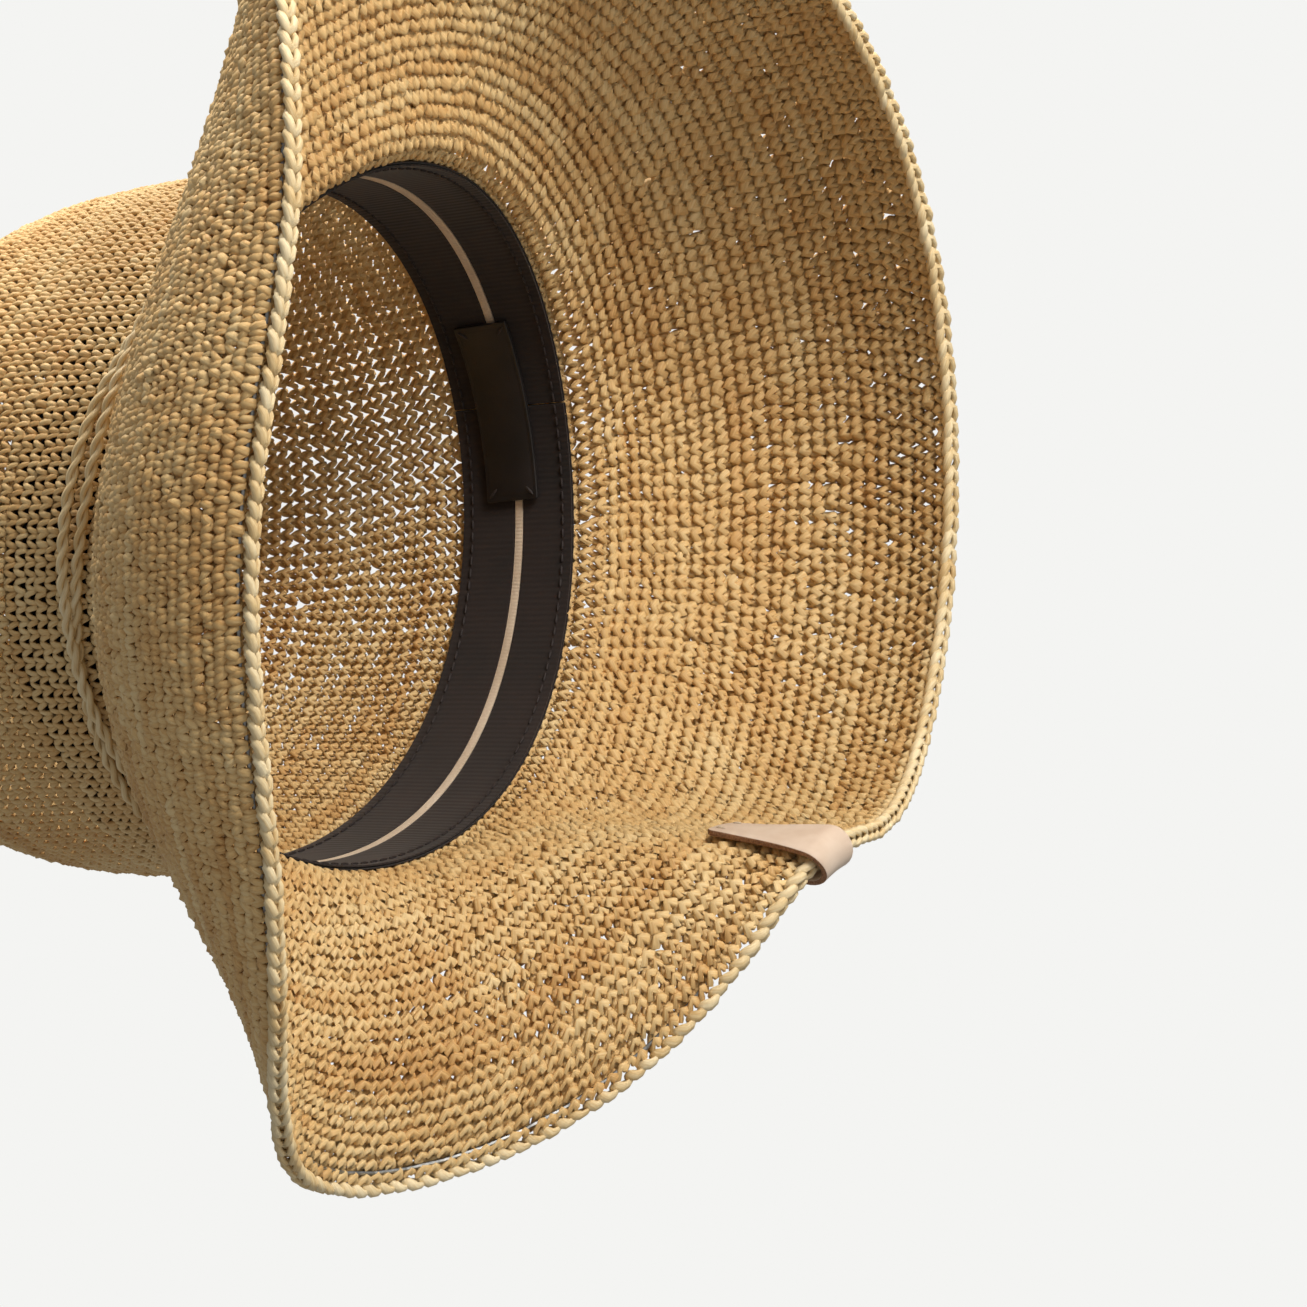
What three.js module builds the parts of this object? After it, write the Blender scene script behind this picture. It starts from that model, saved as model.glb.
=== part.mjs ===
// A crocheted raffia cowboy hat: crown, drooping brim, edge braid, sweatband, hat band, label and edge tab.
// Millimetres, +Z up the crown. The origin is the middle of the head opening, on the line where the brim
// breaks away from the crown. -Y is the front of the hat, +X the wearer's left.
import * as THREE from 'three';

// ---- Driving dimensions ----------------------------------------------------------------------

// Head opening, inside the sweatband.
const HEAD_LENGTH = 194;
const HEAD_WIDTH = 162;

// The opening isn't flat: its edge dips at the front and back and leans a little to the wearer's left.
const BREAK_SADDLE = 7;
const BREAK_TILT = 6;
const BREAK_FADE = 60; // height over which the crown's stitches level out again

// Crochet fabric of the crown and brim.
const RAFFIA_WALL = 3;
const CROWN_HEIGHT = 132;
const CROWN_LEAN = 0.05; // how far the wall leans in for each millimetre of height
const SHOULDER_HEIGHT = 50; // where the wall starts to round over
const SHOULDER_POWER = 2.7; // 2 is an ellipse, more is squarer

// Crease pressed along the top of the crown and a dent on each side of its front.
const CREASE_DEPTH = 30;
const CREASE_HALF_WIDTH = 17;
const CREASE_HALF_LENGTH = 82;
const DENT_DEPTH = 18;
const DENT_SIDE = 46;
const DENT_FORWARD = 34;
const DENT_SIZE = 24;

// Brim, measured along the fabric from the break to the outside of its edge braid.
const BRIM_WIDTH = 100;
const BRIM_EXTRA_BACK = 9;
const BRIM_EXTRA_LEFT = 5;
const BRIM_ROOT_BEND = 9; // length of fabric that turns from the wall into the brim

// The brim's slope below level, in degrees. It leaves the crown almost level and droops past upright at its
// edge, except at three places: folded down over the right ear, flicked up in front of that fold, and lifted
// on the left. place and reach are angles round the hat, from the wearer's left through the back.
const BRIM_ROOT_SLOPE = 6;
const BRIM_EDGE_SLOPE = 108;
const RIGHT_FOLD = { place: 188, reach: 34, slope: 100 };
const FACE_FLICK = { place: 211, reach: 31, slope: -128 };
const LEFT_LIFT = { place: -6, reach: 31, slope: -84 };

// Edge: a wire inside the last round, and a braid worked over it.
const EDGE_BRAID_DIAMETER = 4.4;
const EDGE_WIRE_DIAMETER = 1;
const EDGE_WIRE_GAP = 1.1;
const WIRE_SLEEVE_DIAMETER = 2.2;
const WIRE_SLEEVE_LENGTH = 12;

// Sweatband: two folds of cloth with a sizing lace in the slit between them, on a backing tape.
const SWEATBAND_HEIGHT = 35;
const SWEATBAND_CLOTH = 0.6;
const BACKING_CLOTH = 0.4;
const LACE_WIDTH = 2.3;
const LACE_HEIGHT = 17.4;
const BUTT_SEAM_GAP = 0.5;
const THREAD_DIAMETER = 0.5;
const THREAD_INSET = 3;

// Hat band: two twisted cords drawn together in a knot.
const BAND_CORD_DIAMETER = 2.6;
const BAND_HEIGHT = 10;
const BAND_SPREAD = 6;
const BAND_KNOT_ANGLE = 75;
const BAND_KNOT_LENGTH = 9;

// Label sewn on the sweatband at the back.
const LABEL_LENGTH = 48;
const LABEL_HEIGHT = 16;
const LABEL_THICKNESS = 1.2;
const LABEL_CENTRE = 19;
const LABEL_TILT = 2;
const LABEL_STITCH_LENGTH = 3;
const LABEL_STITCH_DIAMETER = 0.7;

// Leather tab folded over the brim's edge.
const TAB_ANGLE = 172;
const TAB_WIDTH = 12;
const TAB_LEG = 28;
const TAB_LEATHER = 1.5;
const TAB_STITCH_LENGTH = 2.5;
const TAB_STITCH_DIAMETER = 0.8;

// Air between pieces that touch, and how finely rings are divided.
const SEAT = 0.3;
const LABEL_SEAT = 0.6;
const TAB_SEAT = 1.6;
const RING_SEGMENTS = 60;

// ---- Sizes worked out from them --------------------------------------------------------------

const radians = THREE.MathUtils.degToRad;
const BACK = radians(90);
const LENGTH_EXTRA = (HEAD_LENGTH - HEAD_WIDTH) / 2; // half the oval's extra length
const BACKING_INSIDE = SWEATBAND_CLOTH + SEAT;
const CROWN_INSIDE = BACKING_INSIDE + BACKING_CLOTH + SEAT;
const CROWN_OUTSIDE = CROWN_INSIDE + RAFFIA_WALL;
const SIDE_RADIUS = HEAD_WIDTH / 2 + CROWN_OUTSIDE; // crown's half width at the break
const EDGE_CHANNEL = EDGE_WIRE_DIAMETER + 2 * EDGE_WIRE_GAP; // room for the wire between brim and braid
const SHEET_WIDTH = BRIM_WIDTH - EDGE_CHANNEL - EDGE_BRAID_DIAMETER;
const WIRE_AT = SHEET_WIDTH + EDGE_CHANNEL / 2;
const BRAID_AT = SHEET_WIDTH + EDGE_CHANNEL + EDGE_BRAID_DIAMETER / 2;
const LACE_LOW = LACE_HEIGHT - LACE_WIDTH / 2;
const LACE_HIGH = LACE_HEIGHT + LACE_WIDTH / 2;

// ---- The hat's surfaces ----------------------------------------------------------------------

function smooth(from, to, value) {
  return THREE.MathUtils.smoothstep(value, from, to);
}

/** Height of the break line, fading with height up the crown. */
function breakHeight(angle, height) {
  const edge = -BREAK_TILT * Math.cos(angle) - BREAK_SADDLE * Math.cos(2 * angle);
  return edge * Math.exp(-Math.max(height, 0) / BREAK_FADE);
}

/** A point round the head: an angle, an outward distance from the opening's oval, and a height. */
function roundHead(angle, outward, height) {
  const reach = outward - CROWN_LEAN * height;
  return new THREE.Vector3(
    (HEAD_WIDTH / 2 + reach) * Math.cos(angle),
    (HEAD_LENGTH / 2 + reach) * Math.sin(angle),
    height + breakHeight(angle, height),
  );
}

/** How far the creased top is pressed down at a place on the blocked crown. */
function crease(x, y, height) {
  const top = smooth(SHOULDER_HEIGHT + 28, CROWN_HEIGHT - 14, height);
  const along = 1 - smooth(CREASE_HALF_LENGTH * 0.6, CREASE_HALF_LENGTH, Math.abs(y));
  const groove = CREASE_DEPTH * along * Math.exp(-((x / CREASE_HALF_WIDTH) ** 2));
  const side = (Math.abs(x) - DENT_SIDE) / DENT_SIZE;
  const forward = (y + DENT_FORWARD) / DENT_SIZE;
  return top * (groove + DENT_DEPTH * Math.exp(-(side ** 2) - forward ** 2));
}

/** Turns a round crown into the oval, creased one. depth is how far the point lies inside the outer face. */
function crownPoint(angle, radius, height, depth) {
  const stretch = LENGTH_EXTRA * (1 - Math.max(0, 1 - radius / (SIDE_RADIUS * 0.8)) ** 2);
  const x = radius * Math.cos(angle);
  const y = (radius + stretch) * Math.sin(angle);
  return new THREE.Vector3(x, y, height + breakHeight(angle, height) - crease(x, y, height + depth));
}

/** Slope that a pulled place adds at an angle, fading smoothly either side of it. */
function pulled(angle, { place, reach, slope }) {
  const away = THREE.MathUtils.euclideanModulo(THREE.MathUtils.radToDeg(angle) - place + 180, 360) - 180;
  return slope * Math.exp(-((away / reach) ** 2));
}

/** A point of the brim: an angle, a distance along it from the break, and a height above its middle. */
function brimPoint(angle, along, above) {
  const extra = BRIM_EXTRA_BACK * Math.sin(angle) + BRIM_EXTRA_LEFT * Math.cos(angle);
  const width = BRIM_WIDTH + extra;
  const distance = along + extra * Math.min(1, along / SHEET_WIDTH);
  const root = BRIM_ROOT_SLOPE + pulled(angle, RIGHT_FOLD);
  const edge = BRIM_EDGE_SLOPE + pulled(angle, FACE_FLICK) + pulled(angle, LEFT_LIFT);
  const slopeAt = (s) => {
    const shaped = root + (edge - root) * (s / width);
    return radians(90 + (shaped - 90) * smooth(0, BRIM_ROOT_BEND, s));
  };
  const steps = Math.max(1, Math.ceil(Math.abs(distance) / 1.5));
  let outward = 0;
  let down = SEAT;
  for (let i = 0; i < steps; i += 1) {
    const slope = slopeAt(((i + 0.5) * distance) / steps);
    outward += (Math.cos(slope) * distance) / steps;
    down += (Math.sin(slope) * distance) / steps;
  }
  const slope = slopeAt(distance);
  outward += Math.sin(slope) * above;
  down -= Math.cos(slope) * above;
  const middle = CROWN_OUTSIDE - RAFFIA_WALL / 2;
  const half = { x: HEAD_WIDTH / 2 + middle, y: HEAD_LENGTH / 2 + middle };
  const normal = new THREE.Vector2(Math.cos(angle) / half.x, Math.sin(angle) / half.y).normalize();
  return new THREE.Vector3(
    half.x * Math.cos(angle) + normal.x * outward,
    half.y * Math.sin(angle) + normal.y * outward,
    breakHeight(angle, 0) - down,
  );
}

// ---- Ways of making a piece ------------------------------------------------------------------

/** Moves every vertex of a geometry by a function of its position. */
function reshape(geometry, place) {
  const position = geometry.attributes.position;
  for (let i = 0; i < position.count; i += 1) {
    const point = place(position.getX(i), position.getY(i), position.getZ(i));
    position.setXYZ(i, point.x, point.y, point.z);
  }
  geometry.computeVertexNormals();
  return geometry;
}

/** Spins a profile of (outward, up) points about Z and places each point by angle, outward and up. */
function spun(profile, place) {
  const points = profile.map(([outward, up]) => new THREE.Vector2(outward, up));
  const geometry = new THREE.LatheGeometry(points, RING_SEGMENTS).rotateX(Math.PI / 2);
  return reshape(geometry, (x, y, z) => place(Math.atan2(y, x), Math.hypot(x, y), z));
}

/** Closed round section for a spun ring, counted from its lowest point. */
function roundSection(centre, diameter, sides) {
  return Array.from({ length: sides + 1 }, (_, i) => {
    const turn = ((i % sides) * 2 * Math.PI) / sides;
    return [centre + (diameter / 2) * Math.sin(turn), -(diameter / 2) * Math.cos(turn)];
  });
}

/** A strip of cloth round the head with a butt seam at the back. */
function headStrip(low, high, inside, thickness) {
  const turn = 2 * Math.PI - BUTT_SEAM_GAP / (HEAD_WIDTH / 2);
  const geometry = new THREE.BoxGeometry(turn, high - low, thickness, RING_SEGMENTS, 1, 1);
  return reshape(geometry, (x, y, z) =>
    roundHead(BACK + Math.PI + x, inside + thickness / 2 + z, (low + high) / 2 + y));
}

/** A thread laid round the head against the sweatband's face. */
function headThread(height) {
  const radius = 100;
  const centre = -SEAT - THREAD_DIAMETER / 2;
  return spun(roundSection(radius, THREAD_DIAMETER, 5), (angle, outward, up) =>
    roundHead(angle, centre + outward - radius, height + up));
}

/** Bends a flat piece, drawn across the sweatband at the back, round to lie inside it. */
function insideBack(geometry, inset) {
  return reshape(geometry, (x, y, z) =>
    roundHead(BACK - x / (HEAD_WIDTH / 2), -inset - z, LABEL_CENTRE + y));
}

/** Spins a section drawn along the brim's fabric and lays it on the brim. */
function brimRing(profile) {
  const radius = 100;
  const outwards = profile.map(([along, above]) => [radius + along, above]);
  return spun(outwards, (angle, outward, above) => brimPoint(angle, outward - radius, above));
}

const group = new THREE.Group();

function add(name, geometry, colour, roughness, metalness = 0) {
  const material = new THREE.MeshStandardMaterial({ color: colour, roughness, metalness });
  const mesh = new THREE.Mesh(geometry, material);
  mesh.name = name;
  group.add(mesh);
}

const RAFFIA = '#d3b98c';
const BRAID = '#e2cda3';
const DARK_CLOTH = '#2a2422';
const CREAM = '#d9c7ae';
const BLACK_LEATHER = '#1d1a19';
const NATURAL_LEATHER = '#d7b79c';
const STEEL = '#8e9092';

// ---- Crown and brim --------------------------------------------------------------------------

/** Points of the crown's round profile, at a depth inside its outer face, from the break to the top. */
function crownProfile(depth) {
  const rise = CROWN_HEIGHT - SHOULDER_HEIGHT - depth;
  const wall = (height) => SIDE_RADIUS - depth - CROWN_LEAN * height;
  const rounded = (share) => (1 - share ** SHOULDER_POWER) ** (1 / SHOULDER_POWER);
  const points = [0, SHOULDER_HEIGHT / 2].map((height) => [wall(height), height]);
  const sideSteps = 6;
  const topSteps = 7;
  const turnover = 0.84; // share of the rounded height where the side becomes the top
  for (let i = 0; i < sideSteps; i += 1) {
    const share = (turnover * i) / sideSteps;
    const height = SHOULDER_HEIGHT + rise * share;
    points.push([wall(height) * rounded(share), height]);
  }
  for (let i = topSteps; i >= 0; i -= 1) {
    const share = (rounded(turnover) * i) / topSteps;
    const height = SHOULDER_HEIGHT + rise * rounded(share);
    points.push([wall(height) * share, height]);
  }
  return points;
}

function crownGeometry() {
  const outer = crownProfile(0);
  const inner = crownProfile(RAFFIA_WALL).reverse();
  const outline = [...inner, ...outer];
  const points = outline.map(([radius, height]) => new THREE.Vector2(radius, height));
  const geometry = new THREE.LatheGeometry(points, RING_SEGMENTS).rotateX(Math.PI / 2);
  const position = geometry.attributes.position;
  for (let i = 0; i < position.count; i += 1) {
    const [x, y, z] = [position.getX(i), position.getY(i), position.getZ(i)];
    const depth = i % outline.length < inner.length ? RAFFIA_WALL : 0;
    const point = crownPoint(Math.atan2(y, x), Math.hypot(x, y), z, depth);
    position.setXYZ(i, point.x, point.y, point.z);
  }
  geometry.computeVertexNormals();
  return geometry;
}

function brimGeometry() {
  const half = RAFFIA_WALL / 2;
  const stops = [0, 4, 9, 20, 34, 48, 60, 70, 78, 86, SHEET_WIDTH];
  const under = stops.map((along) => [along, -half]);
  const over = stops.map((along) => [along, half]).reverse();
  return brimRing([...under, ...over, under[0]]);
}

add('crown', crownGeometry(), RAFFIA, 0.85);
add('brim', brimGeometry(), RAFFIA, 0.85);
add('edge_braid', brimRing(roundSection(BRAID_AT, EDGE_BRAID_DIAMETER, 8)), BRAID, 0.8);

// ---- Edge wire and the sleeve that joins its ends --------------------------------------------

/** A curve along the brim at a distance from the break, between two angles. */
class BrimLine extends THREE.Curve {
  constructor(along, from, to) {
    super();
    Object.assign(this, { along, from, to });
  }

  getPoint(t, target = new THREE.Vector3()) {
    return target.copy(brimPoint(THREE.MathUtils.lerp(this.from, this.to, t), this.along, 0));
  }
}

function circle(diameter, hole = 0) {
  const shape = new THREE.Shape().absarc(0, 0, diameter / 2, 0, 2 * Math.PI, false);
  if (hole > 0) {
    shape.holes.push(new THREE.Path().absarc(0, 0, hole / 2, 0, 2 * Math.PI, true));
  }
  return shape;
}

/** Sweeps a round section along a curve. */
function swept(shape, curve, steps, sides) {
  return new THREE.ExtrudeGeometry(shape, { extrudePath: curve, steps, curveSegments: sides / 2 });
}

const backReach = brimPoint(BACK, WIRE_AT, 0).length();
const sleeveTurn = WIRE_SLEEVE_LENGTH / backReach;
const wireTurn = 2 * Math.PI - (2 * BUTT_SEAM_GAP) / backReach;
const wireRadius = EDGE_WIRE_DIAMETER / 2;
const wire = new THREE.CylinderGeometry(wireRadius, wireRadius, wireTurn, 6, 2 * RING_SEGMENTS);
const sleeveLine = new BrimLine(WIRE_AT, BACK - sleeveTurn / 2, BACK + sleeveTurn / 2);
const sleeveBore = EDGE_WIRE_DIAMETER + 2 * SEAT;
add('brim_wire', reshape(wire, (x, y, z) => brimPoint(BACK + Math.PI + y, WIRE_AT + x, z)), STEEL, 0.4, 1);
add('wire_join_sleeve', swept(circle(WIRE_SLEEVE_DIAMETER, sleeveBore), sleeveLine, 4, 10), STEEL, 0.35, 1);

// ---- Sweatband and its lace ------------------------------------------------------------------

const LOWER_TOP = LACE_LOW - SEAT;
const UPPER_BOTTOM = LACE_HIGH + SEAT;
add('sweatband_lower_fold', headStrip(SEAT, LOWER_TOP, 0, SWEATBAND_CLOTH), DARK_CLOTH, 0.9);
add('sweatband_upper_fold', headStrip(UPPER_BOTTOM, SWEATBAND_HEIGHT, 0, SWEATBAND_CLOTH), DARK_CLOTH, 0.9);
add('sweatband_backing', headStrip(SEAT, SWEATBAND_HEIGHT, BACKING_INSIDE, BACKING_CLOTH), DARK_CLOTH, 0.95);
add('sizing_lace', headStrip(LACE_LOW, LACE_HIGH, 0, SWEATBAND_CLOTH), CREAM, 0.85);
add('sweatband_lower_thread', headThread(THREAD_INSET), DARK_CLOTH, 0.7);
add('sweatband_upper_thread', headThread(SWEATBAND_HEIGHT - THREAD_INSET), DARK_CLOTH, 0.7);

// ---- Label -----------------------------------------------------------------------------------

const tilt = radians(LABEL_TILT);
const label = new THREE.BoxGeometry(LABEL_LENGTH, LABEL_HEIGHT, LABEL_THICKNESS, 10, 1, 1).rotateZ(tilt);
add('label_patch', insideBack(label, LABEL_SEAT + LABEL_THICKNESS / 2), BLACK_LEATHER, 0.55);

const stitchInset = 2.2;
const stitchAt = { x: LABEL_LENGTH / 2 - stitchInset, y: LABEL_HEIGHT / 2 - stitchInset };
const labelCorners = [[-1, 1], [1, 1], [1, -1], [-1, -1]];
labelCorners.forEach(([side, end], index) => {
  const straight = LABEL_STITCH_LENGTH - LABEL_STITCH_DIAMETER;
  const stitch = new THREE.CapsuleGeometry(LABEL_STITCH_DIAMETER / 2, straight, 3, 6)
    .rotateZ(radians(-45 * side * end))
    .translate(side * stitchAt.x, end * stitchAt.y, 0)
    .rotateZ(tilt);
  const inset = LABEL_SEAT + LABEL_THICKNESS + SEAT + LABEL_STITCH_DIAMETER / 2;
  add(`label_stitch_${index + 1}`, insideBack(stitch, inset), BLACK_LEATHER, 0.6);
});

// ---- Hat band --------------------------------------------------------------------------------

/** A cord's line round the crown, from one side of the knot to the other. */
class BandLine extends THREE.Curve {
  constructor(side) {
    super();
    this.side = side;
  }

  getPoint(t, target = new THREE.Vector3()) {
    const start = radians(BAND_KNOT_ANGLE) + knotTurn / 2;
    const angle = start + t * (2 * Math.PI - knotTurn);
    const drawn = smooth(0, 0.06, t) * (1 - smooth(0.94, 1, t));
    const spread = THREE.MathUtils.lerp(BAND_CORD_DIAMETER + SEAT, BAND_SPREAD, drawn);
    return target.copy(roundHead(angle, bandOutward, BAND_HEIGHT + (this.side * spread) / 2));
  }
}

const bandOutward = CROWN_OUTSIDE + SEAT + BAND_CORD_DIAMETER / 2;
const knotRadius = roundHead(radians(BAND_KNOT_ANGLE), bandOutward, BAND_HEIGHT).setZ(0).length();
const knotTurn = (BAND_KNOT_LENGTH + 2 * SEAT) / knotRadius;
const cordSection = circle(BAND_CORD_DIAMETER);
add('hat_band_upper_cord', swept(cordSection, new BandLine(1), 2 * RING_SEGMENTS, 8), BRAID, 0.8);
add('hat_band_lower_cord', swept(cordSection, new BandLine(-1), 2 * RING_SEGMENTS, 8), BRAID, 0.8);

const knot = new THREE.BoxGeometry(BAND_KNOT_LENGTH / knotRadius, 2.4 * BAND_CORD_DIAMETER,
  1.2 * BAND_CORD_DIAMETER, 3, 1, 1);
const knotOutward = CROWN_OUTSIDE + SEAT + 0.6 * BAND_CORD_DIAMETER;
add('hat_band_knot', reshape(knot, (x, y, z) =>
  roundHead(radians(BAND_KNOT_ANGLE) + x, knotOutward + z, BAND_HEIGHT + y)), BRAID, 0.8);

// ---- Edge tab --------------------------------------------------------------------------------

const tabAngle = radians(TAB_ANGLE);
const tabReach = brimPoint(tabAngle, BRAID_AT, 0).setZ(0).length();
const overBrim = RAFFIA_WALL / 2 + TAB_SEAT + TAB_LEATHER / 2;
const overBraid = EDGE_BRAID_DIAMETER / 2 + TAB_SEAT + TAB_LEATHER / 2;
const foldLength = Math.PI * overBraid;

/** A point of the tab: a distance along the strip from its fold, across it, and out of its face. */
function tabPoint(alongStrip, across, out) {
  const angle = tabAngle + across / tabReach;
  const half = foldLength / 2;
  const past = Math.abs(alongStrip) - half;
  const side = alongStrip < 0 ? 1 : -1;
  if (past <= 0) {
    const turn = (alongStrip / foldLength) * Math.PI;
    const radius = overBraid + out;
    return brimPoint(angle, BRAID_AT + radius * Math.cos(turn), -radius * Math.sin(turn));
  }
  const lift = THREE.MathUtils.lerp(overBraid, overBrim, smooth(0, TAB_LEG * 0.4, past));
  return brimPoint(angle, BRAID_AT - past, side * (lift + out));
}

const stripLength = 2 * TAB_LEG + foldLength;
const tab = new THREE.BoxGeometry(stripLength, TAB_WIDTH, TAB_LEATHER, 20, 4, 1);
add('edge_tab', reshape(tab, tabPoint), NATURAL_LEATHER, 0.6);

[-1, 1].forEach((across, index) => {
  const straight = TAB_STITCH_LENGTH - TAB_STITCH_DIAMETER;
  const inset = 2.5;
  const stitch = new THREE.CapsuleGeometry(TAB_STITCH_DIAMETER / 2, straight, 3, 6)
    .translate(stripLength / 2 - inset, across * (TAB_WIDTH / 2 - inset), 0);
  const out = TAB_LEATHER / 2 + SEAT + TAB_STITCH_DIAMETER / 2;
  add(`tab_stitch_${index + 1}`, reshape(stitch, (x, y, z) => tabPoint(x, y, z + out)), BRAID, 0.8);
});

export default group;
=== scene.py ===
"""A crocheted raffia cowboy hat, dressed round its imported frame.

The crown and brim are one worked fabric: rounds of single crochet from the tip of the crown to the edge
of the brim, each stitch a real loop of raffia, so that light comes through between them. The sweatband,
hat band, edge braid, label and leather tab are made on the same surfaces. Lengths are in metres and
angles in radians, counted round the hat from the wearer's left through the back.
"""

import logging
import math
from dataclasses import dataclass
from enum import Enum
from typing import Sequence

import bmesh
import bpy
import numpy as np
from mathutils import Matrix, Vector


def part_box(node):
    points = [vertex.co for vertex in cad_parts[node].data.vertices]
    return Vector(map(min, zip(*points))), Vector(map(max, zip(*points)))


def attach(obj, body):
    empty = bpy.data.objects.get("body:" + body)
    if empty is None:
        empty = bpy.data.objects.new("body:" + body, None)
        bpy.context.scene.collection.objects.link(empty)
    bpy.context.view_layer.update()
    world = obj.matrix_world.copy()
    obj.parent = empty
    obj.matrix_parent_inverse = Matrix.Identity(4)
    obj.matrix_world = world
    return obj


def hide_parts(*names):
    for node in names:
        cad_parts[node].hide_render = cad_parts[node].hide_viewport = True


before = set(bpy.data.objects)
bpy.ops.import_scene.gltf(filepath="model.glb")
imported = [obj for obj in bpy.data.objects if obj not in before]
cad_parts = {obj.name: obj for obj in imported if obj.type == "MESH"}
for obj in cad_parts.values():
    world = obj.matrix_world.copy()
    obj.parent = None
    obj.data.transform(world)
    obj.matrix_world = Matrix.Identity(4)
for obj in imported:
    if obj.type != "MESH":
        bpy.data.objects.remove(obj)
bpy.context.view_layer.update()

MM = 0.001
TURN = 2.0 * math.pi
BACK = math.pi / 2.0
SEED = 7
log = logging.getLogger("hat")


class Body(Enum):
    """The frame's moving bodies."""

    HAT = "hat"
    BAND = "hat_band"


class Slot(Enum):
    """The record's material slots."""

    RAFFIA = "raffia"
    CORD = "raffia_cord"
    WIRE = "wire"
    CLOTH = "sweatband_cloth"
    LACE = "lace"
    THREAD = "thread"
    LABEL = "label_leather"
    TAB = "tab_leather"
    TAB_THREAD = "tab_thread"


# ---- Finishes -----------------------------------------------------------------------------------


def linear(hex_colour: str) -> tuple[float, float, float, float]:
    """Turns an sRGB hex colour to linear light.

    Args:
        hex_colour: six hex digits after a hash sign.

    Returns:
        Linear red, green, blue and an alpha of one.
    """
    digits = hex_colour.lstrip("#")
    channels = [int(digits[i : i + 2], 16) / 255.0 for i in (0, 2, 4)]
    light = [c / 12.92 if c <= 0.04045 else ((c + 0.055) / 1.055) ** 2.4 for c in channels]
    return light[0], light[1], light[2], 1.0


def add_node(tree: bpy.types.NodeTree, kind: str, settings: dict | None = None,
             inputs: dict | None = None, stops: Sequence[tuple[float, str]] = ()) -> bpy.types.Node:
    """Adds a shader node with its settings, socket values, links and colour stops.

    Args:
        tree: the node tree.
        kind: the node's type name.
        settings: attributes of the node.
        inputs: socket name or number to a value, or to an output socket to link.
        stops: for a colour ramp, places from 0 to 1 with their sRGB colours.

    Returns:
        The new node.
    """
    node = tree.nodes.new(kind)
    for name, value in (settings or {}).items():
        setattr(node, name, value)
    for name, value in (inputs or {}).items():
        if isinstance(value, bpy.types.NodeSocket):
            tree.links.new(value, node.inputs[name])
        else:
            node.inputs[name].default_value = value
    while stops and len(node.color_ramp.elements) < len(stops):
        node.color_ramp.elements.new(0.5)
    for index, (place, colour) in enumerate(stops):
        node.color_ramp.elements[index].position = place
        node.color_ramp.elements[index].color = linear(colour)
    return node


def new_material(name: str) -> tuple[bpy.types.Material, bpy.types.NodeTree, bpy.types.Node]:
    """Makes an empty node material.

    Args:
        name: the material's name.

    Returns:
        The material, its tree and its Principled shader.
    """
    material = bpy.data.materials.new(name)
    material.use_nodes = True
    tree = material.node_tree
    return material, tree, tree.nodes["Principled BSDF"]


def coat(tree: bpy.types.NodeTree, shader: bpy.types.Node, shade: bpy.types.NodeSocket,
         stops: Sequence[tuple[float, str]], relief: bpy.types.NodeSocket,
         strength: float, depth: float) -> None:
    """Colours a shader between stops and gives it relief.

    Args:
        tree: the node tree.
        shader: the shader.
        shade: what the colour follows.
        stops: places from 0 to 1 with their sRGB colours.
        relief: what the relief follows.
        strength: how strongly the relief shows, where 0 is smooth.
        depth: depth of the relief.
    """
    colour = add_node(tree, "ShaderNodeValToRGB", inputs={"Fac": shade}, stops=stops).outputs["Color"]
    tree.links.new(colour, shader.inputs["Base Color"])
    if strength > 0.0:
        bump = {"Height": relief, "Strength": strength, "Distance": depth}
        raised = add_node(tree, "ShaderNodeBump", inputs=bump).outputs["Normal"]
        tree.links.new(raised, shader.inputs["Normal"])


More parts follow.
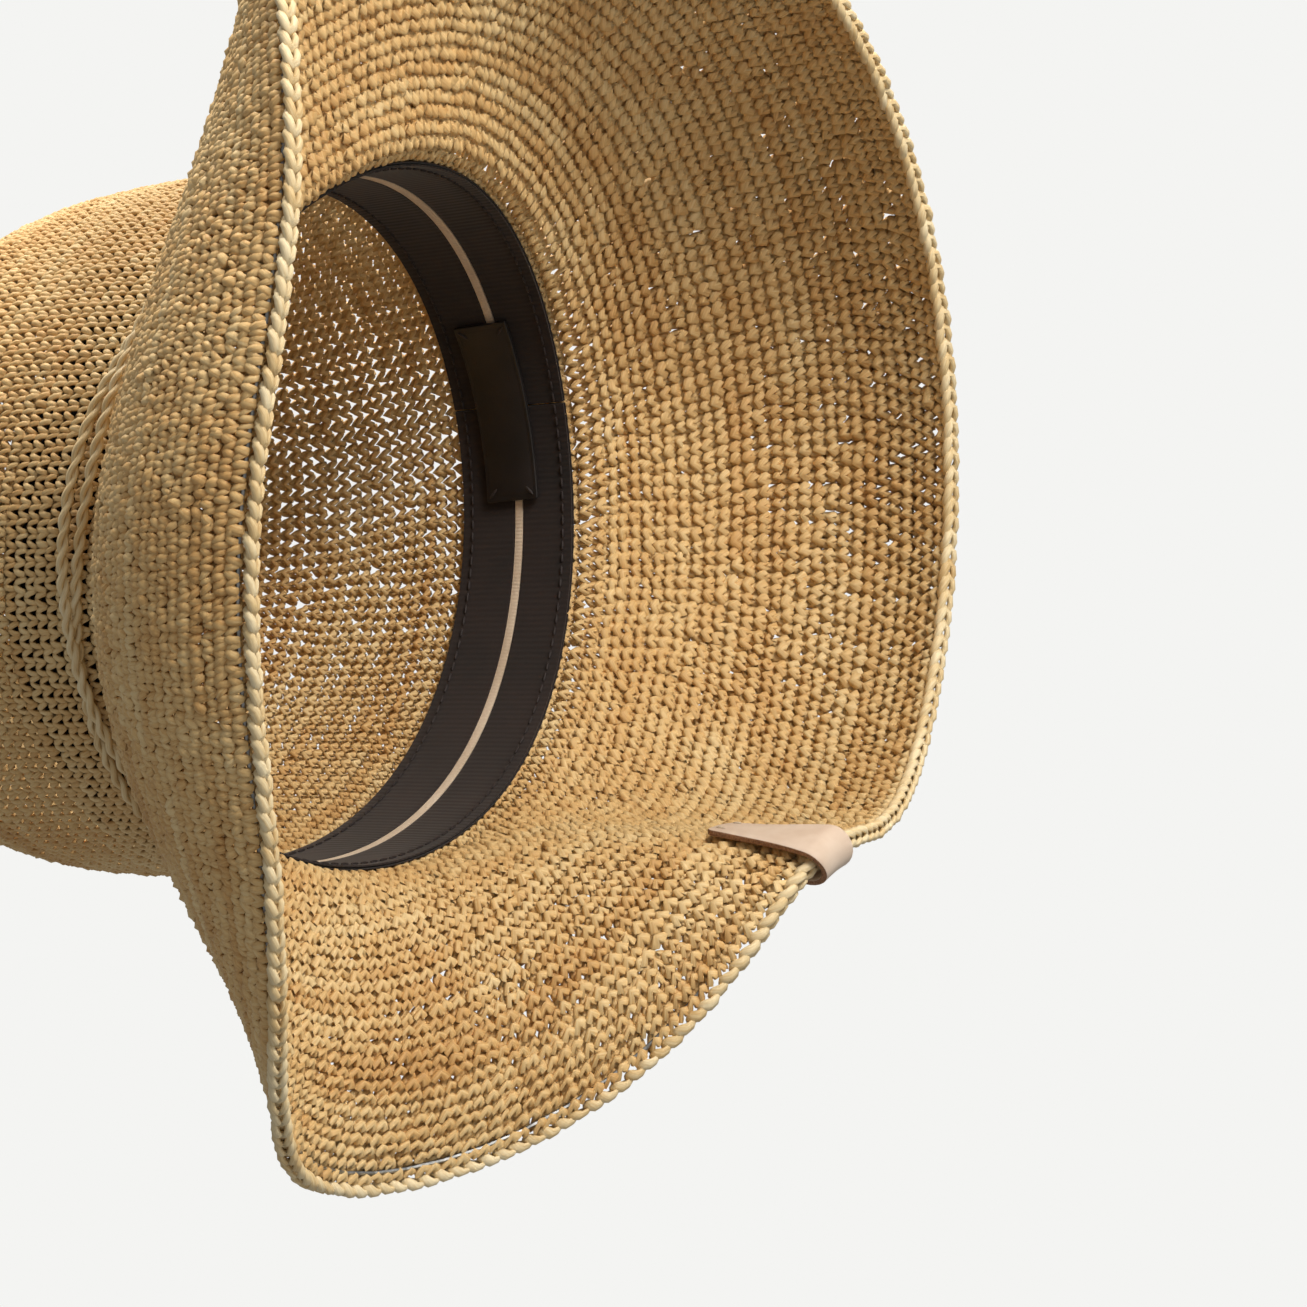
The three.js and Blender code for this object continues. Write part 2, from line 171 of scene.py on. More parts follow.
@dataclass(frozen=True)
class Raffia:
    """Split palm leaf, dried and twisted: a waxy, fibrous straw with brown runs where the leaf aged."""

    name: str
    aged: str
    brown: str
    straw: str
    pale: str
    tone_share: float = 0.13
    fibre_bump: float = 0.5
    roughness: float = 0.56

    def make(self) -> bpy.types.Material:
        """Builds the material from the strand's own coordinates and each stitch's tone.

        Returns:
            The material.
        """
        material, tree, shader = new_material(self.name)
        strand = add_node(tree, "ShaderNodeAttribute", {"attribute_name": "strand"}).outputs["Vector"]
        tone = add_node(tree, "ShaderNodeAttribute", {"attribute_name": "tone"}).outputs["Fac"]
        place = add_node(tree, "ShaderNodeTexCoord").outputs["Object"]
        # Fibres run along the strand: about 0.3 mm across and 4 mm long.
        drawn = add_node(
            tree, "ShaderNodeVectorMath", {"operation": "MULTIPLY"}, {0: strand, 1: (2.6, 2.6, 260.0)}
        ).outputs[0]
        fine = {"Vector": drawn, "Scale": 1.0, "Detail": 3.0, "Roughness": 0.6}
        fibre = add_node(tree, "ShaderNodeTexNoise", inputs=fine).outputs["Fac"]
        # Leaf-to-leaf blotches about 30 mm across.
        broad = {"Vector": place, "Scale": 34.0, "Detail": 2.0, "Roughness": 0.5}
        blotch = add_node(tree, "ShaderNodeTexNoise", inputs=broad).outputs["Fac"]
        toned = add_node(
            tree, "ShaderNodeMath", {"operation": "MULTIPLY_ADD"}, {0: tone, 1: self.tone_share, 2: 0.04}
        ).outputs[0]
        blotched = add_node(
            tree, "ShaderNodeMath", {"operation": "MULTIPLY_ADD"}, {0: blotch, 1: 0.42, 2: toned}
        ).outputs[0]
        mixed = add_node(
            tree, "ShaderNodeMath", {"operation": "MULTIPLY_ADD"}, {0: fibre, 1: 0.62, 2: blotched}
        ).outputs[0]
        stops = ((0.18, self.aged), (0.4, self.brown), (0.56, self.straw), (0.8, self.pale))
        coat(tree, shader, mixed, stops, fibre, self.fibre_bump, 0.25 * MM)
        dry = add_node(
            tree,
            "ShaderNodeMapRange",
            inputs={"Value": fibre, "To Min": self.roughness - 0.12, "To Max": self.roughness + 0.16},
        ).outputs["Result"]
        tree.links.new(dry, shader.inputs["Roughness"])
        shader.inputs["IOR"].default_value = 1.46
        return material


@dataclass(frozen=True)
class Cloth:
    """Ribbed woven cotton: matt, with fine ribs across the strip that catch a little light."""

    name: str
    dark: str
    light: str
    rib: float = 0.8 * MM
    bump: float = 0.35
    sheen: float = 0.15

    def make(self) -> bpy.types.Material:
        """Builds the material from the strip's flat coordinates, kept in its UV map in metres.

        Returns:
            The material.
        """
        material, tree, shader = new_material(self.name)
        flat = add_node(tree, "ShaderNodeUVMap", {"uv_map": "flat"}).outputs["UV"]
        ribs = add_node(
            tree,
            "ShaderNodeTexWave",
            {"wave_type": "BANDS", "bands_direction": "X"},
            {"Vector": flat, "Scale": 1.0 / self.rib / TURN, "Distortion": 0.6, "Detail": 1.0},
        ).outputs["Fac"]
        yarn = add_node(
            tree, "ShaderNodeTexNoise", inputs={"Vector": flat, "Scale": 1400.0, "Detail": 2.0}
        ).outputs["Fac"]
        fade = add_node(
            tree, "ShaderNodeTexNoise", inputs={"Vector": flat, "Scale": 60.0, "Detail": 3.0}
        ).outputs["Fac"]
        height = add_node(
            tree, "ShaderNodeMath", {"operation": "MULTIPLY_ADD"}, {0: yarn, 1: 0.5, 2: ribs}
        ).outputs[0]
        mixed = add_node(
            tree, "ShaderNodeMath", {"operation": "MULTIPLY_ADD"}, {0: yarn, 1: 0.5, 2: fade}
        ).outputs[0]
        stops = ((0.4, self.dark), (1.0, self.light))
        coat(tree, shader, mixed, stops, height, self.bump, 0.15 * MM)
        shader.inputs["Roughness"].default_value = 0.88
        shader.inputs["Sheen Weight"].default_value = self.sheen
        return material


@dataclass(frozen=True)
class Leather:
    """Cowhide with its grain side out: fine pebbled cells, a soft polish and slight clouding."""

    name: str
    dark: str
    light: str
    grain: float = 0.7 * MM
    bump: float = 0.25
    roughness: float = 0.5

    def make(self) -> bpy.types.Material:
        """Builds the material in object coordinates.

        Returns:
            The material.
        """
        material, tree, shader = new_material(self.name)
        place = add_node(tree, "ShaderNodeTexCoord").outputs["Object"]
        cells = add_node(
            tree,
            "ShaderNodeTexVoronoi",
            {"feature": "DISTANCE_TO_EDGE"},
            {"Vector": place, "Scale": 1.0 / self.grain},
        ).outputs["Distance"]
        pores = add_node(
            tree, "ShaderNodeTexNoise", inputs={"Vector": place, "Scale": 2.5 / self.grain, "Detail": 3.0}
        ).outputs["Fac"]
        cloud = add_node(
            tree, "ShaderNodeTexNoise", inputs={"Vector": place, "Scale": 110.0, "Detail": 4.0}
        ).outputs["Fac"]
        height = add_node(
            tree, "ShaderNodeMath", {"operation": "MULTIPLY_ADD"}, {0: pores, 1: 0.4, 2: cells}
        ).outputs[0]
        stops = ((0.3, self.dark), (0.7, self.light))
        coat(tree, shader, cloud, stops, height, self.bump, 0.12 * MM)
        rough = add_node(
            tree,
            "ShaderNodeMapRange",
            inputs={"Value": pores, "To Min": self.roughness - 0.1, "To Max": self.roughness + 0.15},
        ).outputs["Result"]
        tree.links.new(rough, shader.inputs["Roughness"])
        return material


@dataclass(frozen=True)
class FineGrained:
    """Thread, cut leather or drawn steel: one fine grain in the colour and in any relief."""

    name: str
    dark: str
    light: str
    scale: float
    detail: float
    bump: float
    depth: float
    roughness: float
    metallic: float = 0.0

    def make(self) -> bpy.types.Material:
        """Builds the material in object coordinates.

        Returns:
            The material.
        """
        material, tree, shader = new_material(self.name)
        place = add_node(tree, "ShaderNodeTexCoord").outputs["Object"]
        fine = {"Vector": place, "Scale": self.scale, "Detail": self.detail}
        grain = add_node(tree, "ShaderNodeTexNoise", inputs=fine).outputs["Fac"]
        coat(tree, shader, grain, ((0.3, self.dark), (0.7, self.light)), grain, self.bump, self.depth)
        shader.inputs["Roughness"].default_value = self.roughness
        shader.inputs["Metallic"].default_value = self.metallic
        return material


@dataclass(frozen=True)
class Plaster:
    """Painted studio sweep: matt off-white."""

    name: str = "studio floor"
    colour: str = "#eeeeec"

    def make(self) -> bpy.types.Material:
        """Builds the plain material.

        Returns:
            The material.
        """
        material, _, shader = new_material(self.name)
        shader.inputs["Base Color"].default_value = linear(self.colour)
        shader.inputs["Roughness"].default_value = 0.9
        return material


# ---- The hat's surfaces -------------------------------------------------------------------------


def smooth(low: float, high: float, value: np.ndarray) -> np.ndarray:
    """Rises smoothly from 0 to 1 between two values."""
    share = np.clip((value - low) / (high - low), 0.0, 1.0)
    return share * share * (3.0 - 2.0 * share)


@dataclass(frozen=True)
class Pull:
    """A place where the brim was pulled out of its even droop, in degrees round the hat and of slope."""

    place: float
    reach: float
    slope: float

    def at(self, angle: np.ndarray) -> np.ndarray:
        """The slope it adds at angles, fading smoothly either side of its place."""
        away = np.mod(np.degrees(angle) - self.place + 180.0, 360.0) - 180.0
        return self.slope * np.exp(-((away / self.reach) ** 2))


@dataclass(frozen=True)
class HatShape:
    """The blocked crown and hand-shaped brim."""

    head_width: float
    head_length: float
    crown_height: float = 132.0 * MM
    saddle: float = 7.0 * MM
    tilt: float = 6.0 * MM
    fade: float = 60.0 * MM
    wall: float = 3.0 * MM
    crown_inside: float = 1.6 * MM
    lean: float = 0.05
    shoulder: float = 50.0 * MM
    power: float = 2.7
    crease_depth: float = 30.0 * MM
    crease_half_width: float = 17.0 * MM
    crease_half_length: float = 82.0 * MM
    dent_depth: float = 18.0 * MM
    dent_side: float = 46.0 * MM
    dent_forward: float = 34.0 * MM
    dent_size: float = 24.0 * MM
    brim_width: float = 100.0 * MM
    extra_back: float = 9.0 * MM
    extra_left: float = 5.0 * MM
    root_bend: float = 9.0 * MM
    sheet_width: float = 92.4 * MM
    seat: float = 0.3 * MM
    root_slope: float = 6.0
    edge_slope: float = 108.0
    right_fold: Pull = Pull(188.0, 34.0, 100.0)
    face_flick: Pull = Pull(211.0, 31.0, -128.0)
    left_lift: Pull = Pull(-6.0, 31.0, -84.0)

    @classmethod
    def from_frame(cls) -> "HatShape":
        """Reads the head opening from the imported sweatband.

        Returns:
            The shape.
        """
        low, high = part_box("sweatband_lower_fold")
        cloth = 0.6 * MM
        return cls(high.x - low.x - 2.0 * cloth, high.y - low.y - 2.0 * cloth)

    @property
    def side_radius(self) -> float:
        """The crown's outer half width at the break."""
        return self.head_width / 2.0 + self.crown_inside + self.wall

    def break_height(self, angle: np.ndarray, height: np.ndarray) -> np.ndarray:
        """Height of the saddle-shaped break line, fading up the crown."""
        edge = -self.tilt * np.cos(angle) - self.saddle * np.cos(2.0 * angle)
        return edge * np.exp(-np.maximum(height, 0.0) / self.fade)

    def round_head(self, angle: np.ndarray, outward: np.ndarray, height: np.ndarray) -> np.ndarray:
        """A point round the head.

        Args:
            angle: place round the hat.
            outward: distance out from the opening's oval.
            height: height above the break line.

        Returns:
            Points, with x, y and z last.
        """
        reach = outward - self.lean * height
        x = (self.head_width / 2.0 + reach) * np.cos(angle)
        y = (self.head_length / 2.0 + reach) * np.sin(angle)
        return np.stack(np.broadcast_arrays(x, y, height + self.break_height(angle, height)), axis=-1)

    def crease(self, x: np.ndarray, y: np.ndarray, height: np.ndarray) -> np.ndarray:
        """How far the top is pressed down at a place on the blocked crown.

        Args:
            x: place across the hat.
            y: place along the hat.
            height: height there before it is pressed.

        Returns:
            The depth.
        """
        top = smooth(self.shoulder + 28.0 * MM, self.crown_height - 14.0 * MM, height)
        along = 1.0 - smooth(self.crease_half_length * 0.6, self.crease_half_length, np.abs(y))
        groove = self.crease_depth * along * np.exp(-((x / self.crease_half_width) ** 2))
        side = (np.abs(x) - self.dent_side) / self.dent_size
        forward = (y + self.dent_forward) / self.dent_size
        return top * (groove + self.dent_depth * np.exp(-(side**2) - forward**2))

    def crown_rows(self, angles: np.ndarray, step: float) -> np.ndarray:
        """The crown's mid surface from its tip down to the break, in rows one step apart.

        Args:
            angles: places round the hat.
            step: distance between rows along the uncreased profile.

        Returns:
            An array of angle, row and x, y, z.
        """
        depth = self.wall / 2.0
        rise = self.crown_height - self.shoulder - depth
        turn = np.linspace(0.0, math.pi / 2.0, 400)
        high = self.shoulder + rise * np.cos(turn) ** (2.0 / self.power)
        wide = self.side_radius - depth - self.lean * high
        radius = wide * np.sin(turn) ** (2.0 / self.power)
        low = np.linspace(self.shoulder, 0.0, 60)[1:]
        height = np.concatenate([high, low])
        radius = np.concatenate([radius, self.side_radius - depth - self.lean * low])
        run = np.concatenate([[0.0], np.cumsum(np.hypot(np.diff(radius), np.diff(height)))])
        rows = np.linspace(0.0, run[-1], max(2, round(run[-1] / step)) + 1)
        radius = np.interp(rows, run, radius)[None, :]
        height = np.interp(rows, run, height)[None, :]
        angle = angles[:, None]
        extra = (self.head_length - self.head_width) / 2.0
        stretch = extra * (1.0 - np.maximum(0.0, 1.0 - radius / (self.side_radius * 0.8)) ** 2)
        x = radius * np.cos(angle)
        y = (radius + stretch) * np.sin(angle)
        z = height + self.break_height(angle, height) - self.crease(x, y, height + depth)
        return np.stack([x, y, z], axis=-1)

    def brim_rows(self, angles: np.ndarray, rows: np.ndarray) -> np.ndarray:
        """The brim's mid surface at distances along its fabric from the break.

        Args:
            angles: places round the hat.
            rows: rising distances, starting at 0.

        Returns:
            An array of angle, row and x, y, z.
        """
        angle = angles[:, None]
        extra = self.extra_back * np.sin(angle) + self.extra_left * np.cos(angle)
        distance = rows[None, :] + extra * np.minimum(1.0, rows[None, :] / self.sheet_width)
        root = self.root_slope + self.right_fold.at(angle)
        edge = self.edge_slope + self.face_flick.at(angle) + self.left_lift.at(angle)
        middle = (distance[:, 1:] + distance[:, :-1]) / 2.0
        shaped = root + (edge - root) * middle / (self.brim_width + extra)
        slope = np.radians(90.0 + (shaped - 90.0) * smooth(0.0, self.root_bend, middle))
        piece = np.diff(distance, axis=1)
        zero = np.zeros((len(angles), 1))
        outward = np.concatenate([zero, np.cumsum(np.cos(slope) * piece, axis=1)], axis=1)
        down = self.seat + np.concatenate([zero, np.cumsum(np.sin(slope) * piece, axis=1)], axis=1)
        to_middle = self.crown_inside + self.wall / 2.0
        half_x = self.head_width / 2.0 + to_middle
        half_y = self.head_length / 2.0 + to_middle
        normal_x = np.cos(angle) / half_x
        normal_y = np.sin(angle) / half_y
        size = np.hypot(normal_x, normal_y)
        x = half_x * np.cos(angle) + normal_x / size * outward
        y = half_y * np.sin(angle) + normal_y / size * outward
        z = self.break_height(angle, np.zeros_like(angle)) - down
        return np.stack([x, y, z], axis=-1)


class Fabric:
    """The crown and brim as one sheet from the tip to past the edge, read back at any place on it."""

    STEP = 1.0 * MM
    AROUND = 720

    def __init__(self, shape: HatShape) -> None:
        """Samples the shape.

        Args:
            shape: the hat's shape.
        """
        self.shape = shape
        self.angles = np.linspace(0.0, TURN, self.AROUND + 1)
        crown = shape.crown_rows(self.angles, self.STEP)
        brim = shape.brim_rows(self.angles, np.arange(1, 115) * self.STEP)
        self.points = np.concatenate([crown, brim], axis=1)
        self.break_at = (crown.shape[1] - 1) * self.STEP
        around = np.empty_like(self.points)
        around[1:-1] = self.points[2:] - self.points[:-2]
        around[0] = around[-1] = self.points[1] - self.points[-2]
        along = np.gradient(self.points, axis=1)
        normals = np.cross(along, around)
        length = np.linalg.norm(normals, axis=-1, keepdims=True)
        self.normals = normals / np.maximum(length, 1e-12)
        self.normals[:, 0] = (0.0, 0.0, 1.0)
        self.speed = np.linalg.norm(around, axis=-1) / (2.0 * TURN / self.AROUND)
        pieces = np.linalg.norm(np.diff(self.points, axis=0), axis=-1)
        self.arc = np.concatenate([np.zeros((1, pieces.shape[1])), np.cumsum(pieces, axis=0)])

    def read(self, table: np.ndarray, angle: np.ndarray, along: np.ndarray) -> np.ndarray:
        """Blends a sampled table at places on the sheet.

        Args:
            table: values by angle and row.
            angle: places round the hat.
            along: distances from the tip.

        Returns:
            The values there.
        """
        i = np.mod(angle, TURN) / TURN * self.AROUND
        j = np.clip(along / self.STEP, 0.0, table.shape[1] - 1.001)
        i0 = np.minimum(i.astype(int), self.AROUND - 1)
        j0 = j.astype(int)
        s = (i - i0).reshape(i.shape + (1,) * (table.ndim - 2))
        t = (j - j0).reshape(j.shape + (1,) * (table.ndim - 2))
        low = table[i0, j0] * (1 - s) + table[i0 + 1, j0] * s
        high = table[i0, j0 + 1] * (1 - s) + table[i0 + 1, j0 + 1] * s
        return low * (1 - t) + high * t

    def place(self, angle: np.ndarray, along: np.ndarray, above: np.ndarray) -> np.ndarray:
        """Finds points on or above the sheet's mid surface.

        Args:
            angle: places round the hat.
            along: distances from the tip.
            above: heights out of the sheet.

        Returns:
            The points.
        """
        normal = self.read(self.normals, angle, along)
        normal = normal / np.linalg.norm(normal, axis=-1, keepdims=True)
        return self.read(self.points, angle, along) + normal * above[..., None]

    def girth(self, along: float) -> float:
        """Length once round the sheet at a distance from the tip."""
        return float(self.arc[-1, round(along / self.STEP)])

    def angle_at(self, share: np.ndarray, along: float) -> np.ndarray:
        """Finds angles at shares of the way round.

        Args:
            share: shares of the length once round.
            along: distance from the tip.

        Returns:
            The angles.
        """
        column = self.arc[:, round(along / self.STEP)]
        whole = np.floor(share)
        return np.interp((share - whole) * column[-1], column, self.angles) + whole * TURN


# ---- Ways of making a mesh ----------------------------------------------------------------------


def in_scene(name: str, mesh: bpy.types.Mesh) -> bpy.types.Object:
    """Shades a mesh smooth and puts it in the scene as an object.

    Args:
        name: the object's name.
        mesh: the mesh.

    Returns:
        The object.
    """
    mesh.shade_smooth()
    obj = bpy.data.objects.new(name, mesh)
    bpy.context.scene.collection.objects.link(obj)
    return obj


def mesh_object(name: str, points: np.ndarray, faces: np.ndarray) -> bpy.types.Object:
    """Makes a smooth object.

    Args:
        name: the object's name.
        points: vertex places.
        faces: vertex numbers of each face.

    Returns:
        The object.
    """
    mesh = bpy.data.meshes.new(name)
    mesh.from_pydata(points, [], faces)
    return in_scene(name, mesh)


def object_from(name: str, work: bmesh.types.BMesh, sharp: float | None = None) -> bpy.types.Object:
    """Makes a smooth object from a bmesh, and frees the bmesh.

    Args:
        name: the object's name.
        work: the bmesh.
        sharp: angle in degrees past which edges stay sharp.

    Returns:
        The object.
    """
    mesh = bpy.data.meshes.new(name)
    work.to_mesh(mesh)
    work.free()
    obj = in_scene(name, mesh)
    if sharp is not None:
        mesh.set_sharp_from_angle(angle=math.radians(sharp))
    return obj


def bead(half: tuple[float, float, float], tip: float = 0.0) -> bmesh.types.BMesh:
    """Makes the swelling of one sewn stitch.

    Args:
        half: its half sizes.
        tip: how far the ball is tipped about x before it is stretched.

    Returns:
        The bead, at the origin.
    """
    work = bmesh.new()
    bmesh.ops.create_uvsphere(work, u_segments=10, v_segments=8, radius=1.0)
    if tip:
        bmesh.ops.rotate(work, verts=work.verts[:], matrix=Matrix.Rotation(tip, 3, "X"))
    bmesh.ops.scale(work, verts=work.verts[:], vec=half)
    return work


def dress(obj: bpy.types.Object, body: Body, materials: Sequence[bpy.types.Material],
          stands_for: Sequence[str]) -> bpy.types.Object:
    """Gives a finished piece its materials and body, and hides the nodes it stands for.

    Args:
        obj: the piece.
        body: the body it moves with.
        materials: its materials, in the order of its faces' numbers.
        stands_for: CAD nodes that it replaces.

    Returns:
        The piece.
    """
    for material in materials:
        obj.data.materials.append(material)
    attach(obj, body.value)
    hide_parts(*stands_for)
    log.info("%s: %d faces", obj.name, len(obj.data.polygons))
    return obj


def keep_strand(obj: bpy.types.Object, coordinates: np.ndarray, tones: np.ndarray) -> None:
    """Keeps the strand's own coordinates and its tone at each vertex, for the raffia to read.

    Args:
        obj: the piece.
        coordinates: each vertex's place in its strand's own frame.
        tones: each vertex's tone about 0.
    """
    strand = obj.data.attributes.new("strand", "FLOAT_VECTOR", "POINT")
    strand.data.foreach_set("vector", coordinates.astype(np.float32).ravel())
    tone = obj.data.attributes.new("tone", "FLOAT", "POINT")
    tone.data.foreach_set("value", tones.astype(np.float32).ravel())


SPIN_RADIUS = 3.0  # of the hoop before it is bent, in half widths of its section


@dataclass(frozen=True)
class Strand:
    """A closed hoop of round-sided strand, spun once and kept as arrays ready to be bent."""

    turn: np.ndarray
    side: np.ndarray
    faces: np.ndarray

    @classmethod
    def spun(cls, sides: int, steps: int) -> "Strand":
        """Spins a circle into a hoop.

        Args:
            sides: sides of the strand's section.
            steps: rings along the strand.

        Returns:
            The hoop, with each vertex's share of a turn along it and angle round its section.
        """
        work = bmesh.new()
        ring = bmesh.ops.create_circle(work, cap_ends=False, segments=sides, radius=1.0)
        bmesh.ops.rotate(work, verts=ring["verts"], matrix=Matrix.Rotation(math.pi / 2.0, 3, "X"))
        bmesh.ops.translate(work, verts=ring["verts"], vec=(SPIN_RADIUS, 0.0, 0.0))
        bmesh.ops.spin(
            work, geom=work.verts[:] + work.edges[:], axis=(0, 0, 1), cent=(0, 0, 0), dvec=(0, 0, 0),
            angle=TURN, steps=steps, use_merge=True, use_duplicate=False,
        )
        bmesh.ops.remove_doubles(work, verts=work.verts[:], dist=1e-5)
        bmesh.ops.recalc_face_normals(work, faces=work.faces[:])
        work.verts.index_update()
        co = np.array([v.co for v in work.verts])
        faces = np.array([[v.index for v in face.verts] for face in work.faces])
        work.free()
        turn = np.mod(np.arctan2(co[:, 1], co[:, 0]) / TURN + 1e-9, 1.0)
        side = np.arctan2(co[:, 2], np.hypot(co[:, 0], co[:, 1]) - SPIN_RADIUS)
        return cls(turn, side, faces)

    def bent(self, line: np.ndarray, up: np.ndarray, wide: np.ndarray, thick: np.ndarray) -> np.ndarray:
        """Bends the hoop along a closed line.

        Args:
            line: points of the closed line, one for each ring.
            up: which way the thin side of the section faces at each ring.
            wide: half width of the section at each ring.
            thick: half thickness of the section at each ring.

        Returns:
            The vertices' places.
        """
        ring = np.rint(self.turn * len(line)).astype(int) % len(line)
        ahead = np.roll(line, -1, axis=0) - np.roll(line, 1, axis=0)
        ahead = ahead / np.linalg.norm(ahead, axis=1, keepdims=True)
        across = np.cross(ahead, up)
        across = across / np.linalg.norm(across, axis=1, keepdims=True)
        rise = np.cross(across, ahead)
        out = np.cos(self.side)[:, None] * wide[ring][:, None] * across[ring]
        return line[ring] + out + np.sin(self.side)[:, None] * thick[ring][:, None] * rise[ring]

    def faces_of(self, count: int) -> np.ndarray:
        """Faces of several copies of the hoop, one after another."""
        starts = np.arange(count)[:, None, None] * len(self.turn)
        return (self.faces[None] + starts).reshape(-1, 4)

    def coordinates(self, length: float) -> np.ndarray:
        """Each vertex's place in the strand's own frame: round its section, then along it."""
        return np.stack([np.cos(self.side), np.sin(self.side), self.turn * length], axis=1)


# Points of one crochet stitch in widths of a stitch: across, along the work and out of the fabric. Two legs
# rise in a V on the right side and a shallower V joins them behind.
STITCH_LINE = (
    (0.00, -0.50, 0.02),
    (0.17, -0.24, 0.25),
    (0.30, 0.08, 0.30),
    (0.42, 0.42, 0.10),
    (0.34, 0.58, -0.20),
    (0.02, 0.18, -0.40),
    (-0.36, 0.52, -0.22),
    (-0.42, 0.42, 0.12),
    (-0.30, 0.08, 0.30),
    (-0.17, -0.24, 0.25),
)


